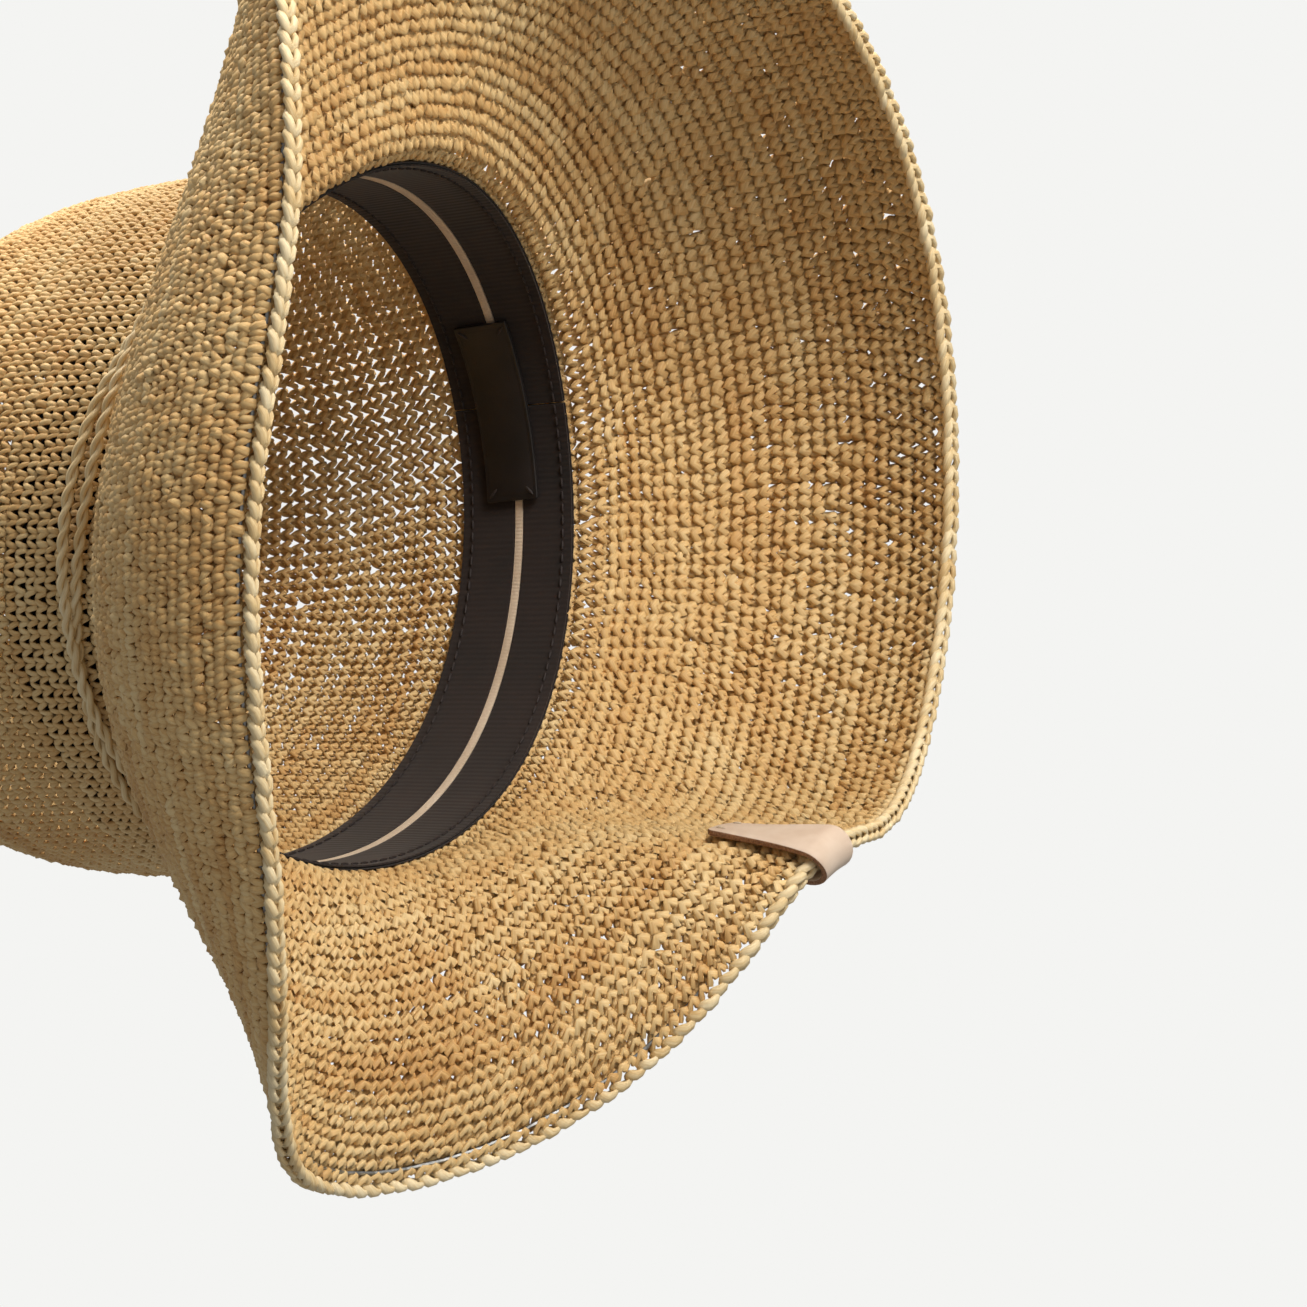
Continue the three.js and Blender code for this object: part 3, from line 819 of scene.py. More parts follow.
@dataclass
class Crochet:
    """The worked fabric of the crown and brim."""

    fabric: Fabric
    finish: bpy.types.Material
    stitch: float = 3.3 * MM
    leg_width: float = 0.24
    leg_thickness: float = 0.2
    brim_fullness: float = 1.55
    piece_stitches: int = 1800
    first_round: float = 3.0 * MM

    def rounds(self) -> np.ndarray:
        """Spaces the rounds from the tip, the last one closing over the edge wire.

        Returns:
            The distances.
        """
        end = self.fabric.break_at + self.fabric.shape.sheet_width + 1.4 * MM
        count = round((end - self.first_round) / self.stitch)
        return np.linspace(self.first_round, end, count + 1)

    def columns(self, rounds: np.ndarray) -> list[tuple[np.ndarray, np.ndarray, np.ndarray]]:
        """Works out where each stitch stands, adding stitches as the work widens.

        Args:
            rounds: distances of the rounds from the tip.

        Returns:
            For each round the stitches' angles, how each leans, and the spacing there.
        """
        counts = [max(6, round(self.fabric.girth(s) / self.stitch)) for s in rounds]
        for i in range(1, len(counts)):
            counts[i] = max(counts[i], counts[i - 1])
        names = list(range(counts[0]))
        share = np.full((counts[-1], len(rounds)), np.nan)
        order = [list(names)]
        share[names, 0] = (np.arange(counts[0]) + 0.5) / counts[0]
        golden = 0.618034
        for i in range(1, len(rounds)):
            added = counts[i] - counts[i - 1]
            starts = sorted(int(((k + golden * i) % added) / added * len(names)) for k in range(added))
            grown: list[int] = []
            fresh = counts[i - 1]
            for rank, name in enumerate(order[-1]):
                grown.append(name)
                while starts and starts[0] <= rank:
                    starts.pop(0)
                    grown.append(fresh)
                    fresh += 1
            even = (np.arange(len(grown)) + 0.5) / len(grown)
            old = share[grown, i - 1]
            known = ~np.isnan(old)
            even = even + np.mean((old - even)[known])
            share[grown, i] = even
            order.append(grown)
            names = grown
        relaxed = self.relax(share)
        result = []
        for i, grown in enumerate(order):
            here = self.fabric.angle_at(relaxed[grown, i], rounds[i])
            after = relaxed[grown, min(i + 1, len(rounds) - 1)]
            before = relaxed[grown, max(i - 1, 0)]
            before = np.where(np.isnan(before), relaxed[grown, i], before)
            gap = rounds[min(i + 1, len(rounds) - 1)] - rounds[max(i - 1, 0)]
            lean = (after - before) * TURN / gap
            girth = self.fabric.girth(rounds[i])
            spacing = np.abs(np.roll(relaxed[grown, i], -1) - np.roll(relaxed[grown, i], 1)) / 2.0
            spacing = np.minimum(spacing, 1.6 / len(grown)) * girth
            result.append((here, lean, spacing))
        return result

    @staticmethod
    def relax(share: np.ndarray) -> np.ndarray:
        """Evens each column out over its neighbouring rounds, so that increases ease in.

        Args:
            share: share of a turn of each column in each round, empty before it starts.

        Returns:
            The evened shares.
        """
        reach = 3
        total = np.zeros_like(share)
        weight = np.zeros_like(share)
        count = share.shape[1]
        for shift in range(-reach, reach + 1):
            low, high = max(0, -shift), min(count, count - shift)
            part = np.full_like(share, np.nan)
            part[:, low:high] = share[:, low + shift : high + shift]
            known = ~np.isnan(part) & ~np.isnan(share)
            pull = reach + 1 - abs(shift)
            total[known] += part[known] * pull
            weight[known] += pull
        return np.where(weight > 0, total / np.maximum(weight, 1), np.nan)

    def tones(self, count: int, random: np.random.Generator) -> tuple[np.ndarray, np.ndarray]:
        """Tone and thickness of each stitch in working order, changing with each new strand of leaf.

        Args:
            count: how many stitches.
            random: the seeded generator.

        Returns:
            Tones about 0, and thickness shares about 1.
        """
        tone = np.zeros(count)
        thick = np.ones(count)
        start = 0
        while start < count:
            run = int(random.integers(14, 70))
            tone[start : start + run] = random.normal(0.0, 0.55)
            thick[start : start + run] = random.normal(1.0, 0.05)
            start += run
        tone += random.normal(0.0, 0.32, count)
        thick *= random.normal(1.0, 0.06, count)
        return np.clip(tone, -1.6, 1.6), np.clip(thick, 0.8, 1.25)

    def build(self) -> list[bpy.types.Object]:
        """Makes the fabric as pieces of a few rounds each.

        Returns:
            The crown's and the brim's pieces.
        """
        random = np.random.default_rng(SEED)
        rounds = self.rounds()
        columns = self.columns(rounds)
        angle = np.concatenate([c[0] for c in columns])
        lean = np.concatenate([c[1] for c in columns])
        spacing = np.concatenate([c[2] for c in columns])
        along = np.concatenate([np.full(len(c[0]), s) for c, s in zip(columns, rounds)])
        tone, thick = self.tones(len(angle), random)
        hoop = Strand.spun(5, len(STITCH_LINE))
        line = np.array(STITCH_LINE)
        up = np.tile((0.0, 0.0, 1.0), (len(line), 1)) + line * (1.1, 0.0, 0.4)
        wide = np.full(len(line), self.leg_width)
        thin = np.full(len(line), self.leg_thickness)
        wide[5] *= 0.9  # where the strand crosses behind the work
        template = hoop.bent(line, up, wide, thin)
        core = hoop.bent(line, up, np.zeros(len(line)), np.zeros(len(line)))
        own = hoop.coordinates(11.0 * MM)
        pieces = []
        starts = self.cuts(rounds, columns)
        for number, (first, last) in enumerate(starts):
            part = slice(first, last)
            count = last - first
            on_brim = smooth(0.0, 12.0 * MM, along[part] - self.fabric.break_at)
            fatness = (thick[part] * (1.0 + (self.brim_fullness - 1.0) * on_brim))[:, None, None]
            local = core[None] + (template - core)[None] * fatness
            local = local * self.stitch
            local = self.jitter(local, random, 0.5 + 0.5 * on_brim)
            u, v, w = local[..., 0], local[..., 1], local[..., 2]
            crowd = (spacing[part] / self.stitch)[:, None]
            speed = self.fabric.read(self.fabric.speed, angle[part], along[part])[:, None]
            at = angle[part][:, None] + lean[part][:, None] * v + u * crowd / np.maximum(speed, 2.0 * MM)
            points = self.fabric.place(at, np.maximum(along[part][:, None] + v, 0.2 * MM), w)
            where = "crown" if along[first] < self.fabric.break_at else "brim"
            obj = mesh_object(
                f"{where}_crochet_{number + 1}", points.reshape(-1, 3), hoop.faces_of(count)
            )
            coordinates = np.tile(own, (count, 1, 1))
            coordinates[..., 2] += random.uniform(0.0, 3.0, count)[:, None]
            keep_strand(obj, coordinates, np.repeat(tone[part], len(template)))
            dress(obj, Body.HAT, [self.finish], [where])
            pieces.append(obj)
        return pieces

    def cuts(self, rounds: np.ndarray, columns: list) -> list[tuple[int, int]]:
        """Splits the stitches between rounds into pieces, with one split at the break.

        Args:
            rounds: distances of the rounds from the tip.
            columns: the stitches of each round.

        Returns:
            The first stitch of each piece and the one after its last.
        """
        result = []
        first = total = 0
        for s, column in zip(rounds, columns):
            at_break = abs(s - self.fabric.break_at) <= self.stitch / 2.0
            if total - first + len(column[0]) > self.piece_stitches or (at_break and total > first):
                result.append((first, total))
                first = total
            total += len(column[0])
        result.append((first, total))
        return result

    @staticmethod
    def jitter(local: np.ndarray, random: np.random.Generator, amount: np.ndarray) -> np.ndarray:
        """Turns, stretches and shifts each stitch, as hand tension does.

        Args:
            local: each stitch's points: across, along and out.
            random: the seeded generator.
            amount: how uneven each stitch is, up to 1.

        Returns:
            The moved points.
        """
        count = len(local)
        share = amount[:, None]
        swing = random.normal(0.0, 0.17, (count, 1)) * share
        tip = random.normal(0.0, 0.16, (count, 1)) * share
        lift = random.normal(0.0, 0.12 * MM, (count, 1))
        size = 1.0 + random.normal(0.0, 0.08, (count, 2)) * share
        shift = random.normal(0.0, 0.24 * MM, (count, 2)) * share
        u, v, w = local[..., 0], local[..., 1], local[..., 2]
        turned_u = u * np.cos(swing) - v * np.sin(swing)
        turned_v = u * np.sin(swing) + v * np.cos(swing)
        moved_u = turned_u * size[:, :1] + shift[:, :1]
        moved_v = turned_v * size[:, 1:] + shift[:, 1:]
        return np.stack([moved_u, moved_v, w + turned_u * tip + lift], axis=-1)


@dataclass
class EdgeBraid:
    """A chain worked over the brim's edge wire, each link a loop with a leg above and a leg below."""

    fabric: Fabric
    finish: bpy.types.Material
    link: float = 4.0 * MM
    middle: float = 97.8 * MM
    half_height: float = 1.35 * MM
    half_depth: float = 1.1 * MM

    def line(self) -> np.ndarray:
        """Lays out one link in its own frame.

        Returns:
            Points of one link: across the edge's face, along the edge and out from it.
        """
        reach = self.link
        high, out = self.half_height, self.half_depth
        return np.array(
            [
                (0.0, -0.62 * reach, 0.10 * out),
                (0.75 * high, -0.30 * reach, 0.75 * out),
                (1.15 * high, 0.12 * reach, 0.55 * out),
                (1.00 * high, 0.52 * reach, -0.30 * out),
                (0.45 * high, 0.72 * reach, -0.80 * out),
                (-0.45 * high, 0.72 * reach, -0.80 * out),
                (-1.00 * high, 0.52 * reach, -0.30 * out),
                (-1.15 * high, 0.12 * reach, 0.55 * out),
                (-0.75 * high, -0.30 * reach, 0.75 * out),
            ]
        )

    def build(self) -> bpy.types.Object:
        """Makes the chain round the edge.

        Returns:
            The braid.
        """
        random = np.random.default_rng(SEED + 1)
        along = self.fabric.break_at + self.middle
        count = round(self.fabric.girth(along) / self.link)
        angle = self.fabric.angle_at((np.arange(count) + 0.5) / count, along)
        line = self.line()
        hoop = Strand.spun(7, len(line))
        up = line * (1.0, 0.0, 1.0) + (0.0, 0.0, 0.3 * MM)
        wide = np.full(len(line), 1.15 * MM)
        thick = np.full(len(line), 0.85 * MM)
        template = hoop.bent(line, up, wide, thick)
        local = np.repeat(template[None], count, axis=0)
        size = random.normal(1.0, 0.05, (count, 1, 3))
        local = local * size + random.normal(0.0, 0.12 * MM, (count, 1, 3))
        speed = self.fabric.read(self.fabric.speed, angle, np.full(count, along))[:, None]
        at = angle[:, None] + local[..., 1] / speed
        points = self.fabric.place(at, along + local[..., 2], local[..., 0])
        obj = mesh_object("edge_braid_links", points.reshape(-1, 3), hoop.faces_of(count))
        own = np.tile(hoop.coordinates(14.0 * MM), (count, 1, 1))
        own[..., 2] += random.uniform(0.0, 3.0, count)[:, None]
        keep_strand(obj, own, np.repeat(random.normal(0.35, 0.35, count), len(template)))
        return dress(obj, Body.HAT, [self.finish], ["edge_braid"])


@dataclass
class HatBand:
    """Two cords of two twisted plies, laid loosely round each other and knotted."""

    shape: HatShape
    finish: bpy.types.Material
    height: float = 10.0 * MM
    spread: float = 3.0 * MM
    crossings: int = 7
    first_crossing: float = math.radians(322.0)
    ply_radius: float = 0.78 * MM
    twist_length: float = 11.0 * MM
    steps: int = 660
    knot_angle: float = math.radians(75.0)
    knot_radius: float = 90.0 * MM  # arc length per radian near the knot

    @property
    def wall_face(self) -> float:
        """How far the crown's outer face stands out from the opening's oval."""
        return self.shape.crown_inside + self.shape.wall

    def centre(self, turn: np.ndarray, side: float) -> np.ndarray:
        """A cord's middle line.

        Args:
            turn: shares of a turn from the knot.
            side: 1 for the upper cord, -1 for the lower.

        Returns:
            Points of the line.
        """
        angle = self.knot_angle + turn * TURN
        wrap = (angle - self.first_crossing) * self.crossings / 2.0
        part = np.sin(wrap)
        drawn = smooth(0.0, 0.03, turn) * (1.0 - smooth(0.97, 1.0, turn))
        spread = self.spread * (0.35 + 0.65 * drawn)
        outward = self.wall_face + 2.1 * MM + side * 0.95 * MM * np.cos(wrap)
        height = self.height + side * spread * part + 0.4 * MM * np.sin(5.0 * angle + side)
        return self.shape.round_head(angle, outward, height)

    def cord(self, name: str, side: float, random: np.random.Generator) -> bpy.types.Object:
        """Makes one cord from two plies that twist round its middle line.

        Args:
            name: the piece's name.
            side: 1 for the upper cord, -1 for the lower.
            random: the seeded generator.

        Returns:
            The cord.
        """
        hoop = Strand.spun(6, self.steps)
        turn = np.arange(self.steps) / self.steps
        middle = self.centre(turn, side)
        ahead = np.roll(middle, -1, axis=0) - np.roll(middle, 1, axis=0)
        pace = np.linalg.norm(ahead, axis=1, keepdims=True)
        ahead = ahead / pace
        out = middle * (1.0, 1.0, 0.0)
        out = out / np.linalg.norm(out, axis=1, keepdims=True)
        across = np.cross(ahead, out)
        length = float(pace.sum() / 2.0)
        twists = round(length / self.twist_length)
        points, coordinates, tones = [], [], []
        for ply in (0.0, math.pi):
            phase = turn * TURN * twists + ply + 0.35 * np.sin(turn * TURN * 9.0 + side)
            radius = self.ply_radius * 0.92
            offset = radius * (np.cos(phase)[:, None] * out + np.sin(phase)[:, None] * across)
            noise = np.interp(turn, np.linspace(0.0, 1.0, 90), random.normal(1.0, 0.07, 90))
            wide = self.ply_radius * noise
            points.append(hoop.bent(middle + offset, out, wide, wide * 0.86))
            coordinates.append(hoop.coordinates(length))
            tones.append(np.full(len(hoop.turn), 0.45 + random.normal(0.0, 0.2)))
        obj = mesh_object(name, np.concatenate(points), hoop.faces_of(len(points)))
        keep_strand(obj, np.concatenate(coordinates), np.concatenate(tones))
        return obj

    def knot(self, random: np.random.Generator) -> bpy.types.Object:
        """Makes three turns of raffia bound round both cords.

        Args:
            random: the seeded generator.

        Returns:
            The knot.
        """
        steps = 20
        hoop = Strand.spun(7, steps)
        turn = np.arange(steps) / steps * TURN
        points, coordinates, tones = [], [], []
        for lap, shift in enumerate((-2.6 * MM, 0.0, 2.6 * MM)):
            swing = shift + 0.9 * MM * np.sin(turn + lap)
            angle = self.knot_angle + swing / self.knot_radius
            outward = self.wall_face + 2.2 * MM + 1.75 * MM * np.cos(turn)
            height = self.height + 3.4 * MM * np.sin(turn)
            line = self.shape.round_head(angle, outward, height)
            middle = line.mean(axis=0)
            size = np.full(steps, 1.25 * MM)
            points.append(hoop.bent(line, line - middle, size, size * 0.6))
            coordinates.append(hoop.coordinates(18.0 * MM))
            tones.append(np.full(len(hoop.turn), 0.3 + 0.3 * random.normal()))
        obj = mesh_object("hat_band_binding", np.concatenate(points), hoop.faces_of(len(points)))
        keep_strand(obj, np.concatenate(coordinates), np.concatenate(tones))
        return obj

    def build(self) -> list[bpy.types.Object]:
        """Makes the two cords and their knot.

        Returns:
            The three pieces.
        """
        random = np.random.default_rng(SEED + 2)
        upper = self.cord("hat_band_cord_upper", 1.0, random)
        lower = self.cord("hat_band_cord_lower", -1.0, random)
        knot = self.knot(random)
        nodes = ("hat_band_upper_cord", "hat_band_lower_cord", "hat_band_knot")
        pieces = zip((upper, lower, knot), nodes)
        return [dress(obj, Body.BAND, [self.finish], [node]) for obj, node in pieces]


@dataclass
class Sweatband:
    """Two folds of ribbed cloth round the inside of the opening, with a lace in the slit and a label."""

    shape: HatShape
    cloth: bpy.types.Material
    lace: bpy.types.Material
    thread: bpy.types.Material
    leather: bpy.types.Material
    height: float = 35.0 * MM
    thickness: float = 0.6 * MM
    lace_middle: float = 17.4 * MM
    lace_width: float = 2.3 * MM
    seat: float = 0.3 * MM
    seam_gap: float = 0.5 * MM
    seam_radius: float = 81.0 * MM  # arc length per radian at the back seam
    stitch_length: float = 2.3 * MM
    stitch_pitch: float = 3.4 * MM
    stitch_inset: float = 3.0 * MM
    stitch_seat: float = 0.12 * MM
    mean_radius: float = 89.0 * MM  # arc length per radian, on average
    label_length: float = 48.0 * MM
    label_height: float = 16.0 * MM
    label_thickness: float = 1.2 * MM
    label_middle: float = 19.0 * MM
    label_tilt: float = math.radians(2.0)
    label_seat: float = 0.6 * MM

    @property
    def girth(self) -> float:
        """Length of the strip, close enough to the oval's own for the cloth's weave."""
        return math.pi * (self.shape.head_width + self.shape.head_length) / 2.0

    def strip(self, name: str, low: float, high: float, inside: float, thickness: float,
              rows: int, pucker: float = 0.0) -> bpy.types.Object:
        """Makes a strip of cloth with rounded long edges and a butt seam at the back.

        Args:
            name: the piece's name.
            low: height of its lower edge.
            high: height of its upper edge.
            inside: how far its inner face stands out from the opening's oval.
            thickness: cloth thickness.
            rows: divisions of its height.
            pucker: depth of the small hollows that the stitches pull.

        Returns:
            The strip.
        """
        work = bmesh.new()
        bmesh.ops.create_grid(work, x_segments=300, y_segments=rows, size=0.5)
        bmesh.ops.recalc_face_normals(work, faces=work.faces[:])
        flat = work.loops.layers.uv.new("flat")
        for face in work.faces:
            for loop in face.loops:
                loop[flat].uv = (loop.vert.co.x * self.girth, loop.vert.co.y * (high - low))
        open_turn = TURN - self.seam_gap / self.seam_radius
        bmesh.ops.scale(work, verts=work.verts[:], vec=(open_turn, high - low, 1.0))
        bmesh.ops.solidify(work, geom=work.faces[:], thickness=thickness)
        deepest = min(v.co.z for v in work.verts)
        for vert in work.verts:
            layer = vert.co.z - deepest
            height = vert.co.y + (low + high) / 2.0
            edge = min(height - low, high - height) / thickness
            round_off = (1.0 - min(1.0, edge)) * 0.35 * (0.5 * thickness - layer)
            pull = 0.0
            for row in (self.stitch_inset, self.height - self.stitch_inset):
                near = math.exp(-(((height - row) / (1.6 * MM)) ** 2))
                beat = math.sin(vert.co.x * self.girth / self.stitch_pitch)
                pull += pucker * near * (0.6 + 0.4 * beat)
            angle = BACK + math.pi + vert.co.x
            outward = inside + layer + round_off + pull
            vert.co = Vector(self.shape.round_head(np.array(angle), np.array(outward), np.array(height)))
        bmesh.ops.recalc_face_normals(work, faces=work.faces[:])
        return object_from(name, work, sharp=50.0)

    def stitches(self, name: str, height: float) -> bpy.types.Object:
        """Makes a row of running stitches that dip into the cloth at both ends.

        Args:
            name: the piece's name.
            height: height of the row above the break.

        Returns:
            The row.
        """
        steps = 8
        hoop = Strand.spun(5, steps)
        turn = np.arange(steps) / steps * TURN
        reach = self.stitch_length / 2.0 * np.cos(turn)
        line = np.stack([reach, np.zeros(steps), 0.16 * MM * np.sin(turn)], axis=1)
        up = np.tile((0.0, 1.0, 0.0), (steps, 1))
        size = np.full(steps, 0.2 * MM)
        template = hoop.bent(line, up, size, size * 1.2)
        count = round(self.girth / self.stitch_pitch)
        angle = BACK + (np.arange(count) + 0.5) / count * TURN
        across = template[None, :, 0] / self.mean_radius
        outward = -self.stitch_seat - template[None, :, 2]
        points = self.shape.round_head(angle[:, None] + across, outward, height + template[None, :, 1])
        return mesh_object(name, points.reshape(-1, 3), hoop.faces_of(count))

    def bend_inside(self, work: bmesh.types.BMesh, inset: float) -> None:
        """Tilts a piece drawn flat on the label and bends it round to lie inside the back of the band.

        Args:
            work: the piece, drawn flat.
            inset: distance of its middle in from the opening's oval.
        """
        bmesh.ops.rotate(work, verts=work.verts[:], matrix=Matrix.Rotation(self.label_tilt, 3, "Z"))
        for vert in work.verts:
            angle = BACK - vert.co.x / (self.shape.head_width / 2.0)
            height = np.array(self.label_middle + vert.co.y)
            vert.co = Vector(self.shape.round_head(np.array(angle), np.array(-inset - vert.co.z), height))
        bmesh.ops.recalc_face_normals(work, faces=work.faces[:])

    def label(self) -> bpy.types.Object:
        """Makes the leather patch with a pressed border and soft edges.

        Returns:
            The patch.
        """
        work = bmesh.new()
        bmesh.ops.create_cube(work, size=1.0)
        bmesh.ops.scale(
            work, verts=work.verts[:], vec=(self.label_length, self.label_height, self.label_thickness)
        )
        front = [f for f in work.faces if f.normal.z > 0.5]
        bmesh.ops.inset_region(work, faces=front, thickness=1.5 * MM)
        groove = bmesh.ops.inset_region(work, faces=front, thickness=0.5 * MM)
        middle = {v for f in front for v in f.verts}
        pressed = list({v for f in groove["faces"] for v in f.verts} - middle)
        bmesh.ops.translate(work, verts=pressed, vec=(0.0, 0.0, -0.18 * MM))
        cuts = 24
        for k in range(1, cuts):
            bmesh.ops.bisect_plane(
                work, geom=work.verts[:] + work.edges[:] + work.faces[:],
                plane_co=((k / cuts - 0.5) * self.label_length, 0.0, 0.0), plane_no=(1.0, 0.0, 0.0),
            )
        rim = [e for e in work.edges if len(e.link_faces) == 2 and e.calc_face_angle(0.0) > 1.2]
        bmesh.ops.bevel(
            work, geom=rim, offset=0.3 * MM, segments=3, profile=0.5, affect="EDGES", material=-1
        )
        self.bend_inside(work, self.label_seat + self.label_thickness / 2.0)
        return object_from("label_leather", work, sharp=50.0)

    def corner_stitch(self, index: int, side: int, end: int) -> bpy.types.Object:
        """Makes the slanted stitch in a corner of the label.

        Args:
            index: its number.
            side: -1 or 1 along the label.
            end: -1 or 1 across it.

        Returns:
            The stitch.
        """
        work = bead((0.38 * MM, 1.6 * MM, 0.34 * MM), tip=math.pi / 2.0)
        slant = Matrix.Rotation(math.radians(-45.0 * side * end), 3, "Z")
        bmesh.ops.rotate(work, verts=work.verts[:], matrix=slant)
        inset = 2.2 * MM
        across = side * (self.label_length / 2.0 - inset)
        above = end * (self.label_height / 2.0 - inset)
        bmesh.ops.translate(work, verts=work.verts[:], vec=(across, above, 0.0))
        self.bend_inside(work, self.label_seat + self.label_thickness + 0.1 * MM)
        return object_from(f"label_corner_stitch_{index}", work)

    def build(self) -> list[bpy.types.Object]:
        """Makes the folds, backing, lace, stitches and label.

        Returns:
            All the pieces.
        """
        low_top = self.lace_middle - self.lace_width / 2.0 - self.seat
        high_low = self.lace_middle + self.lace_width / 2.0 + self.seat
        cloth, pucker = self.thickness, 0.22 * MM
        lower = self.strip("sweatband_fold_lower", self.seat, low_top, 0.0, cloth, 14, pucker)
        upper = self.strip("sweatband_fold_upper", high_low, self.height, 0.0, cloth, 14, pucker)
        backing = self.strip("sweatband_tape", self.seat, self.height, 0.9 * MM, 0.4 * MM, 10)
        lace_low = self.lace_middle - self.lace_width / 2.0
        lace_high = self.lace_middle + self.lace_width / 2.0
        lace = self.strip("sizing_lace_ribbon", lace_low, lace_high, 0.0, cloth, 3)
        rows = (
            ("sweatband_stitches_lower", self.stitch_inset, "sweatband_lower_thread"),
            ("sweatband_stitches_upper", self.height - self.stitch_inset, "sweatband_upper_thread"),
        )
        pieces = [
            dress(lower, Body.HAT, [self.cloth], ["sweatband_lower_fold"]),
            dress(upper, Body.HAT, [self.cloth], ["sweatband_upper_fold"]),
            dress(backing, Body.HAT, [self.cloth], ["sweatband_backing"]),
            dress(lace, Body.HAT, [self.lace], ["sizing_lace"]),
            dress(self.label(), Body.HAT, [self.leather], ["label_patch"]),
        ]
        for name, height, node in rows:
            row = self.stitches(name, height)
            pieces.append(dress(row, Body.HAT, [self.thread], [node]))
        for index, (side, end) in enumerate(((-1, 1), (1, 1), (1, -1), (-1, -1)), start=1):
            stitch = self.corner_stitch(index, side, end)
            pieces.append(dress(stitch, Body.HAT, [self.thread], [f"label_stitch_{index}"]))
        return pieces


@dataclass
class EdgeTab:
    """A strip of natural leather folded over the brim's edge and tacked at its inner corners."""

    fabric: Fabric
    leather: bpy.types.Material
    cut: bpy.types.Material
    thread: bpy.types.Material
    angle: float = math.radians(172.0)
    width: float = 12.0 * MM
    leg: float = 28.0 * MM
    thickness: float = 1.5 * MM
    over_brim: float = 3.85 * MM
    over_braid: float = 4.55 * MM
    middle: float = 97.8 * MM

    @property
    def fold(self) -> float:
        """Length of leather in the fold."""
        return math.pi * self.over_braid

    def place(self, strip: float, across: float, out: float) -> Vector:
        """A point of the tab.

        Args:
            strip: distance along the strip from the middle of its fold, positive underneath.
            across: distance across it.
            out: distance out of its face.

        Returns:
            The point.
        """
        along = np.array(self.fabric.break_at + self.middle)
        speed = float(self.fabric.read(self.fabric.speed, np.array(self.angle), along))
        at = np.array(self.angle + across / speed)
        past = abs(strip) - self.fold / 2.0
        side = 1.0 if strip < 0.0 else -1.0
        if past <= 0.0:
            turn = strip / self.fold * math.pi
            radius = self.over_braid + out
            below = np.array(-radius * math.sin(turn))
            return Vector(self.fabric.place(at, along + radius * math.cos(turn), below))
        share = min(1.0, past / (self.leg * 0.75))
        eased = share * share * (3.0 - 2.0 * share)
        lift = self.over_braid + (self.over_brim - self.over_braid) * eased
        return Vector(self.fabric.place(at, along - past, np.array(side * (lift + out))))

    def strap(self) -> bpy.types.Object:
        """Makes the folded strap, its cut sides in the second material.

        Returns:
            The strap.
        """
        work = bmesh.new()
        bmesh.ops.create_grid(work, x_segments=60, y_segments=10, size=0.5)
        length = 2.0 * self.leg + self.fold
        bmesh.ops.scale(work, verts=work.verts[:], vec=(length, self.width, 1.0))
        for vert in work.verts:
            corner = max(0.0, abs(vert.co.x) - (length / 2.0 - 1.5 * MM)) / (1.5 * MM)
            vert.co.y *= 1.0 - 0.12 * corner * corner
        bmesh.ops.solidify(work, geom=work.faces[:], thickness=self.thickness)
        middle = sum(v.co.z for v in work.verts) / len(work.verts)
        for face in work.faces:
            face.material_index = 0 if abs(face.normal.z) > 0.5 else 1
        rim = [e for e in work.edges if len({f.material_index for f in e.link_faces}) == 2]
        bmesh.ops.bevel(
            work, geom=rim, offset=0.25 * MM, segments=2, profile=0.5, affect="EDGES", material=-1
        )
        for vert in work.verts:
            vert.co = self.place(vert.co.x, vert.co.y, vert.co.z - middle)
        bmesh.ops.recalc_face_normals(work, faces=work.faces[:])
        return object_from("edge_tab_strap", work, sharp=60.0)

    def tack(self, index: int, across: float) -> bpy.types.Object:
        """Makes a tacking stitch near an inner corner.

        Args:
            index: its number.
            across: -1 or 1 across the strap.

        Returns:
            The stitch.
        """
        work = bead((1.3 * MM, 0.4 * MM, 0.35 * MM))
        inset = 2.5 * MM
        start = self.leg + self.fold / 2.0 - inset
        shift = (start, across * (self.width / 2.0 - inset), 0.0)
        bmesh.ops.translate(work, verts=work.verts[:], vec=shift)
        for vert in work.verts:
            vert.co = self.place(vert.co.x, vert.co.y, vert.co.z + self.thickness / 2.0 + 0.1 * MM)
        bmesh.ops.recalc_face_normals(work, faces=work.faces[:])
        return object_from(f"edge_tab_tack_{index}", work)

    def build(self) -> list[bpy.types.Object]:
        """Makes the strap and its two tacks.

        Returns:
            The three pieces.
        """
        pieces = [dress(self.strap(), Body.HAT, [self.leather, self.cut], ["edge_tab"])]
        for index, across in enumerate((-1.0, 1.0), start=1):
            tack = self.tack(index, across)
            pieces.append(dress(tack, Body.HAT, [self.thread], [f"tab_stitch_{index}"]))
        return pieces


# ---- Studio -------------------------------------------------------------------------------------


